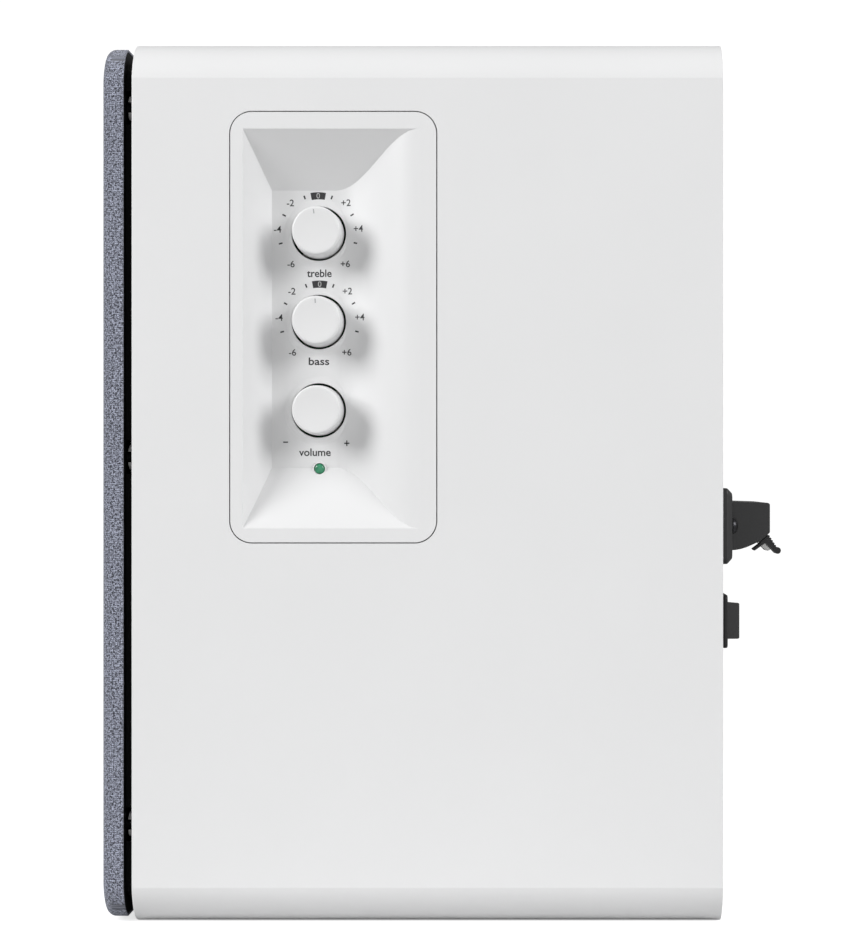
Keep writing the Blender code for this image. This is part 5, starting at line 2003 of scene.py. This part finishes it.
@dataclass
class Terminal:
    """The loudspeaker terminal: a housing with two sprung levers.

    Its profiles are pairs of a distance out from the back and a height over its middle.
    """

    centre: Flat = (2 * MM, 104.7 * MM)
    wide: float = 60 * MM
    tall: float = 21.4 * MM
    face: float = 6.2 * MM
    reach: float = 17.3 * MM
    body_wide: float = 46 * MM
    screw_side: float = 25.9 * MM
    wire_up: float = 2.4 * MM
    wire_hole: float = 1.5 * MM
    lever_wide: float = 7 * MM
    lever_side: float = 15.5 * MM
    pivot: Flat = (14.9 * MM, -4.1 * MM)
    arm: tuple[Flat, Flat] = ((17.07 * MM, -2.8 * MM), (19.3 * MM, -6.25 * MM))
    teeth: int = 5
    rib: float = 0.38 * MM
    ball: Flat = (19.84 * MM, -7.15 * MM)
    ball_radius: float = 0.95 * MM

    def flange(self) -> Form:
        """The flange, which narrows towards its face.

        Returns:
            The flange, about the terminal's middle.
        """
        rings = []
        for inset, height in ((0, 2.3 * MM), (0, 4.7 * MM), (1.5 * MM, self.face)):
            size = (self.wide - 2 * inset, self.tall - 2 * inset)
            rings.append(level(rounded(*size, 1.6 * MM, (0, 0), 6), height))
        return softened(loft(rings), 0.3 * MM, 3)

    def raised_body(self) -> Form:
        """The part that stands out from the flange, undercut to make room for the levers.

        Returns:
            The body, about the terminal's middle.
        """
        half, front, sill = self.body_wide / 2, self.reach, self.face - 1 * MM
        side = [(sill, 6.9 * MM), (front - 0.4 * MM, 6.5 * MM), (front, 6.1 * MM), (front, -1.9 * MM)]
        side += metres([(16.6, -2.6), (14.6, -4.3), (12.5, -5.3), (10.8, -6.05), (9.1, -6.6), (7.5, -6.9)])
        side.append((sill, -7 * MM))
        return softened(across(side, -half, half), 0.3 * MM, 3, 30)

    def housing(self) -> Form:
        """The flange with the raised body over it, bored for wires and screws.

        Returns:
            The housing, about the terminal's middle.
        """
        housing = carved(self.flange(), self.raised_body(), Cut.ADD)
        behind = prism(rounded(self.body_wide, 12 * MM, 1 * MM, (0, 0), 2), -12 * MM, 4 * MM)
        housing = carved(housing, behind, Cut.ADD)
        wires = [(end * self.lever_side, self.wire_up) for end in (-1, 1)]
        screws = [(end * self.screw_side, 0) for end in (-1, 1)]
        holes = [rods(self.wire_hole, 32, wires, 9 * MM, 20 * MM), rods(1.6 * MM, 16, screws, 0, 10 * MM)]
        housing = carved(housing, gathered(holes))
        mouth = [(self.wire_hole, self.reach - 0.7 * MM), (2.3 * MM, self.reach + 0.1 * MM)]
        return carved(housing, gathered(at(turned(mouth, 32), *spot, 0) for spot in wires))

    def lever(self) -> Form:
        """One lever: a ribbed outer arm that ends in a ball, and an inner arm.

        Returns:
            The lever, about its pivot.
        """
        start, end = self.arm
        slope = math.atan2(end[1] - start[1], end[0] - start[0])
        out = (-math.sin(slope) * self.rib, math.cos(slope) * self.rib)
        points: Outline = []
        for tooth in range(self.teeth):
            for share, lift in ((0, 0), (0.2, 0.8), (0.45, 1), (0.7, 0.8), (0.9, 0)):
                t = (tooth + share) / self.teeth
                z = start[0] + (end[0] - start[0]) * t + out[0] * lift
                y = start[1] + (end[1] - start[1]) * t + out[1] * lift
                points.append((z, y))
        points += arc(self.ball, self.ball_radius, 95, -125, 20)
        points += metres([(16.4, -4.95), (13.3, -7.2), (12.9, -6.75), (15, -5.15), (15.16, -4.56)])
        profile = [(z - self.pivot[0], y - self.pivot[1]) for z, y in points]
        half = self.lever_wide / 2
        return softened(across(profile, -half, half), 0.12 * MM, 2, 50)

    def build(self) -> None:
        """Makes the housing, its screws and the levers."""
        x, y = self.centre
        housing = BACK.place(self.housing(), (x, y, 0))
        piece("terminal_moulding", housing, TERMINAL, Body.CABINET, ["terminal_housing"])
        spots = [((x + end * self.screw_side, y, self.face), 0.4 * end) for end in (-1, 1)]
        form = screw(2.2 * MM, 1.8 * MM, 1.3 * MM, 12 * MM)
        screws = BACK.place(copied(form, Layout.SPOTS, {"Finish": STEEL.make()}, spots))
        piece("terminal_screws", screws, STEEL, Body.CABINET, numbered("terminal_screw", 2))
        for name, end, body, finish in (
            ("negative", -1, Body.NEGATIVE, BLACK),
            ("positive", 1, Body.POSITIVE, PALE),
        ):
            spot = (x + end * self.lever_side, y + self.pivot[1], self.pivot[0])
            lever = BACK.place(self.lever(), spot)
            piece(f"{name}_lever_arm", lever, finish, body, [f"terminal_lever_{name}"])


# Studio


@dataclass
class Studio:
    """A pale floor, soft lights and the camera."""

    distance: float = 0.6969
    lens: float = 100
    height: float = 0.1191
    along: float = 0.1027
    shift: float = -0.105
    above: float = 0.35
    below: float = 0.32
    horizon: Flat = (-0.3, 0.4)
    backdrop: float = 1.05
    floor_reach: float = 0.9
    floor_fade: Flat = (0.09, 0.42)
    floor_glow: float = 0.7

    def floor(self) -> None:
        """A round floor that fades into the white surroundings."""
        form = bmesh.new()
        bmesh.ops.create_circle(form, cap_ends=True, segments=96, radius=self.floor_reach)
        floor = loose(form, "studio_floor")
        recipe = Recipe("studio_floor_paper")
        point = recipe.add("TexCoord").outputs["Object"]
        reach = recipe.add("VectorMath", {0: point}, operation="LENGTH").outputs["Value"]
        cloud = recipe.noise(0.4, 2)
        seen = recipe.add("LightPath").outputs["Is Camera Ray"]
        recipe.set(
            Base_Color=recipe.blend(cloud, (0.7, 0.7, 0.7, 1), (0.72, 0.72, 0.72, 1)),
            Roughness=0.9,
            Emission_Color=(1, 1, 1, 1),
            Emission_Strength=recipe.math("MULTIPLY", seen, self.floor_glow),
            Alpha=recipe.spread(reach, 1, 0, self.floor_fade),
        )
        floor.data.materials.append(recipe.material)

    def world(self) -> None:
        """White surroundings that light the speaker more from above than from below."""
        world = bpy.data.worlds.new("studio_world")
        world.use_nodes = True
        bpy.context.scene.world = world
        nodes, links = world.node_tree.nodes, world.node_tree.links
        back = nodes["Background"]
        back.inputs["Color"].default_value = (1, 1, 1, 1)
        coordinate = nodes.new("ShaderNodeTexCoord")
        axes = nodes.new("ShaderNodeSeparateXYZ")
        links.new(coordinate.outputs["Generated"], axes.inputs[0])
        sky = nodes.new("ShaderNodeMapRange")
        for key, value in enumerate((*self.horizon, self.below, self.above), start=1):
            sky.inputs[key].default_value = value
        links.new(axes.outputs["Z"], sky.inputs[0])
        path = nodes.new("ShaderNodeLightPath")
        seen = nodes.new("ShaderNodeMix")
        seen.inputs[3].default_value = self.backdrop
        links.new(path.outputs["Is Camera Ray"], seen.inputs[0])
        links.new(sky.outputs[0], seen.inputs[2])
        links.new(seen.outputs[0], back.inputs["Strength"])

    def light(self, name: str, towards: Spot, size: float, power: float, distance: float = 1.3) -> None:
        """A round soft light.

        Args:
            name: Its name.
            towards: The direction from the speaker to it.
            size: Its width.
            power: Its power in watts.
            distance: How far it is from the speaker's middle.
        """
        data = bpy.data.lights.new(name, "AREA")
        data.shape, data.size, data.energy = "DISK", size, power
        lamp = bpy.data.objects.new(name, data)
        bpy.context.scene.collection.objects.link(lamp)
        direction = Vector(towards).normalized()
        lamp.location = Vector((0, 0, HEIGHT / 2)) + direction * distance
        lamp.rotation_euler = direction.to_track_quat("Z", "Y").to_euler()

    def camera(self) -> None:
        """The camera, square on to the control side."""
        data = bpy.data.cameras.new("camera")
        data.lens, data.sensor_width, data.shift_x = self.lens, 36, self.shift
        camera = bpy.data.objects.new("camera", data)
        bpy.context.scene.collection.objects.link(camera)
        camera.location = (SHELL_HIGH.x + self.distance, SHELL_LOW.y + self.along, self.height)
        camera.rotation_euler = (math.pi / 2, 0, math.pi / 2)
        bpy.context.scene.camera = camera

    def build(self) -> None:
        """Sets the whole studio up."""
        self.floor()
        self.world()
        self.light("light_rear", (0.53, 0.8, 0.47), 0.65, 8.3)
        self.light("light_front", (0.53, -0.8, 0.47), 0.65, 10.3)
        self.light("light_low", (1, 0, -0.13), 0.5, 0.3, 0.65)
        self.camera()
        bpy.context.scene.view_settings.view_transform = "Standard"


def main() -> None:
    """Builds the speaker, one sub-assembly after another."""
    logging.basicConfig(level=logging.INFO, format="%(message)s")
    for old in [o for o in bpy.data.objects if o.name in {"Cube", "Light", "Camera"}]:
        bpy.data.objects.remove(old)
    cabinet = Cabinet()
    panel = ControlPanel()
    grille = Grille(cabinet)
    baffle = Baffle(cabinet)
    cabinet.build(panel)
    panel.build()
    Markings(panel).build()
    for body in panel.knob_v:
        Knob(body, panel, turn={Body.TREBLE: 7.0, Body.BASS: 2.5}.get(body, 0.0)).build()
    grille.build()
    baffle.build(grille)
    Woofer((0, baffle.woofer_v, 0)).build()
    Tweeter((0, baffle.tweeter_v, 0)).build()
    Amplifier().build()
    Terminal().build()
    Studio().build()


if __name__ == "__main__":
    main()
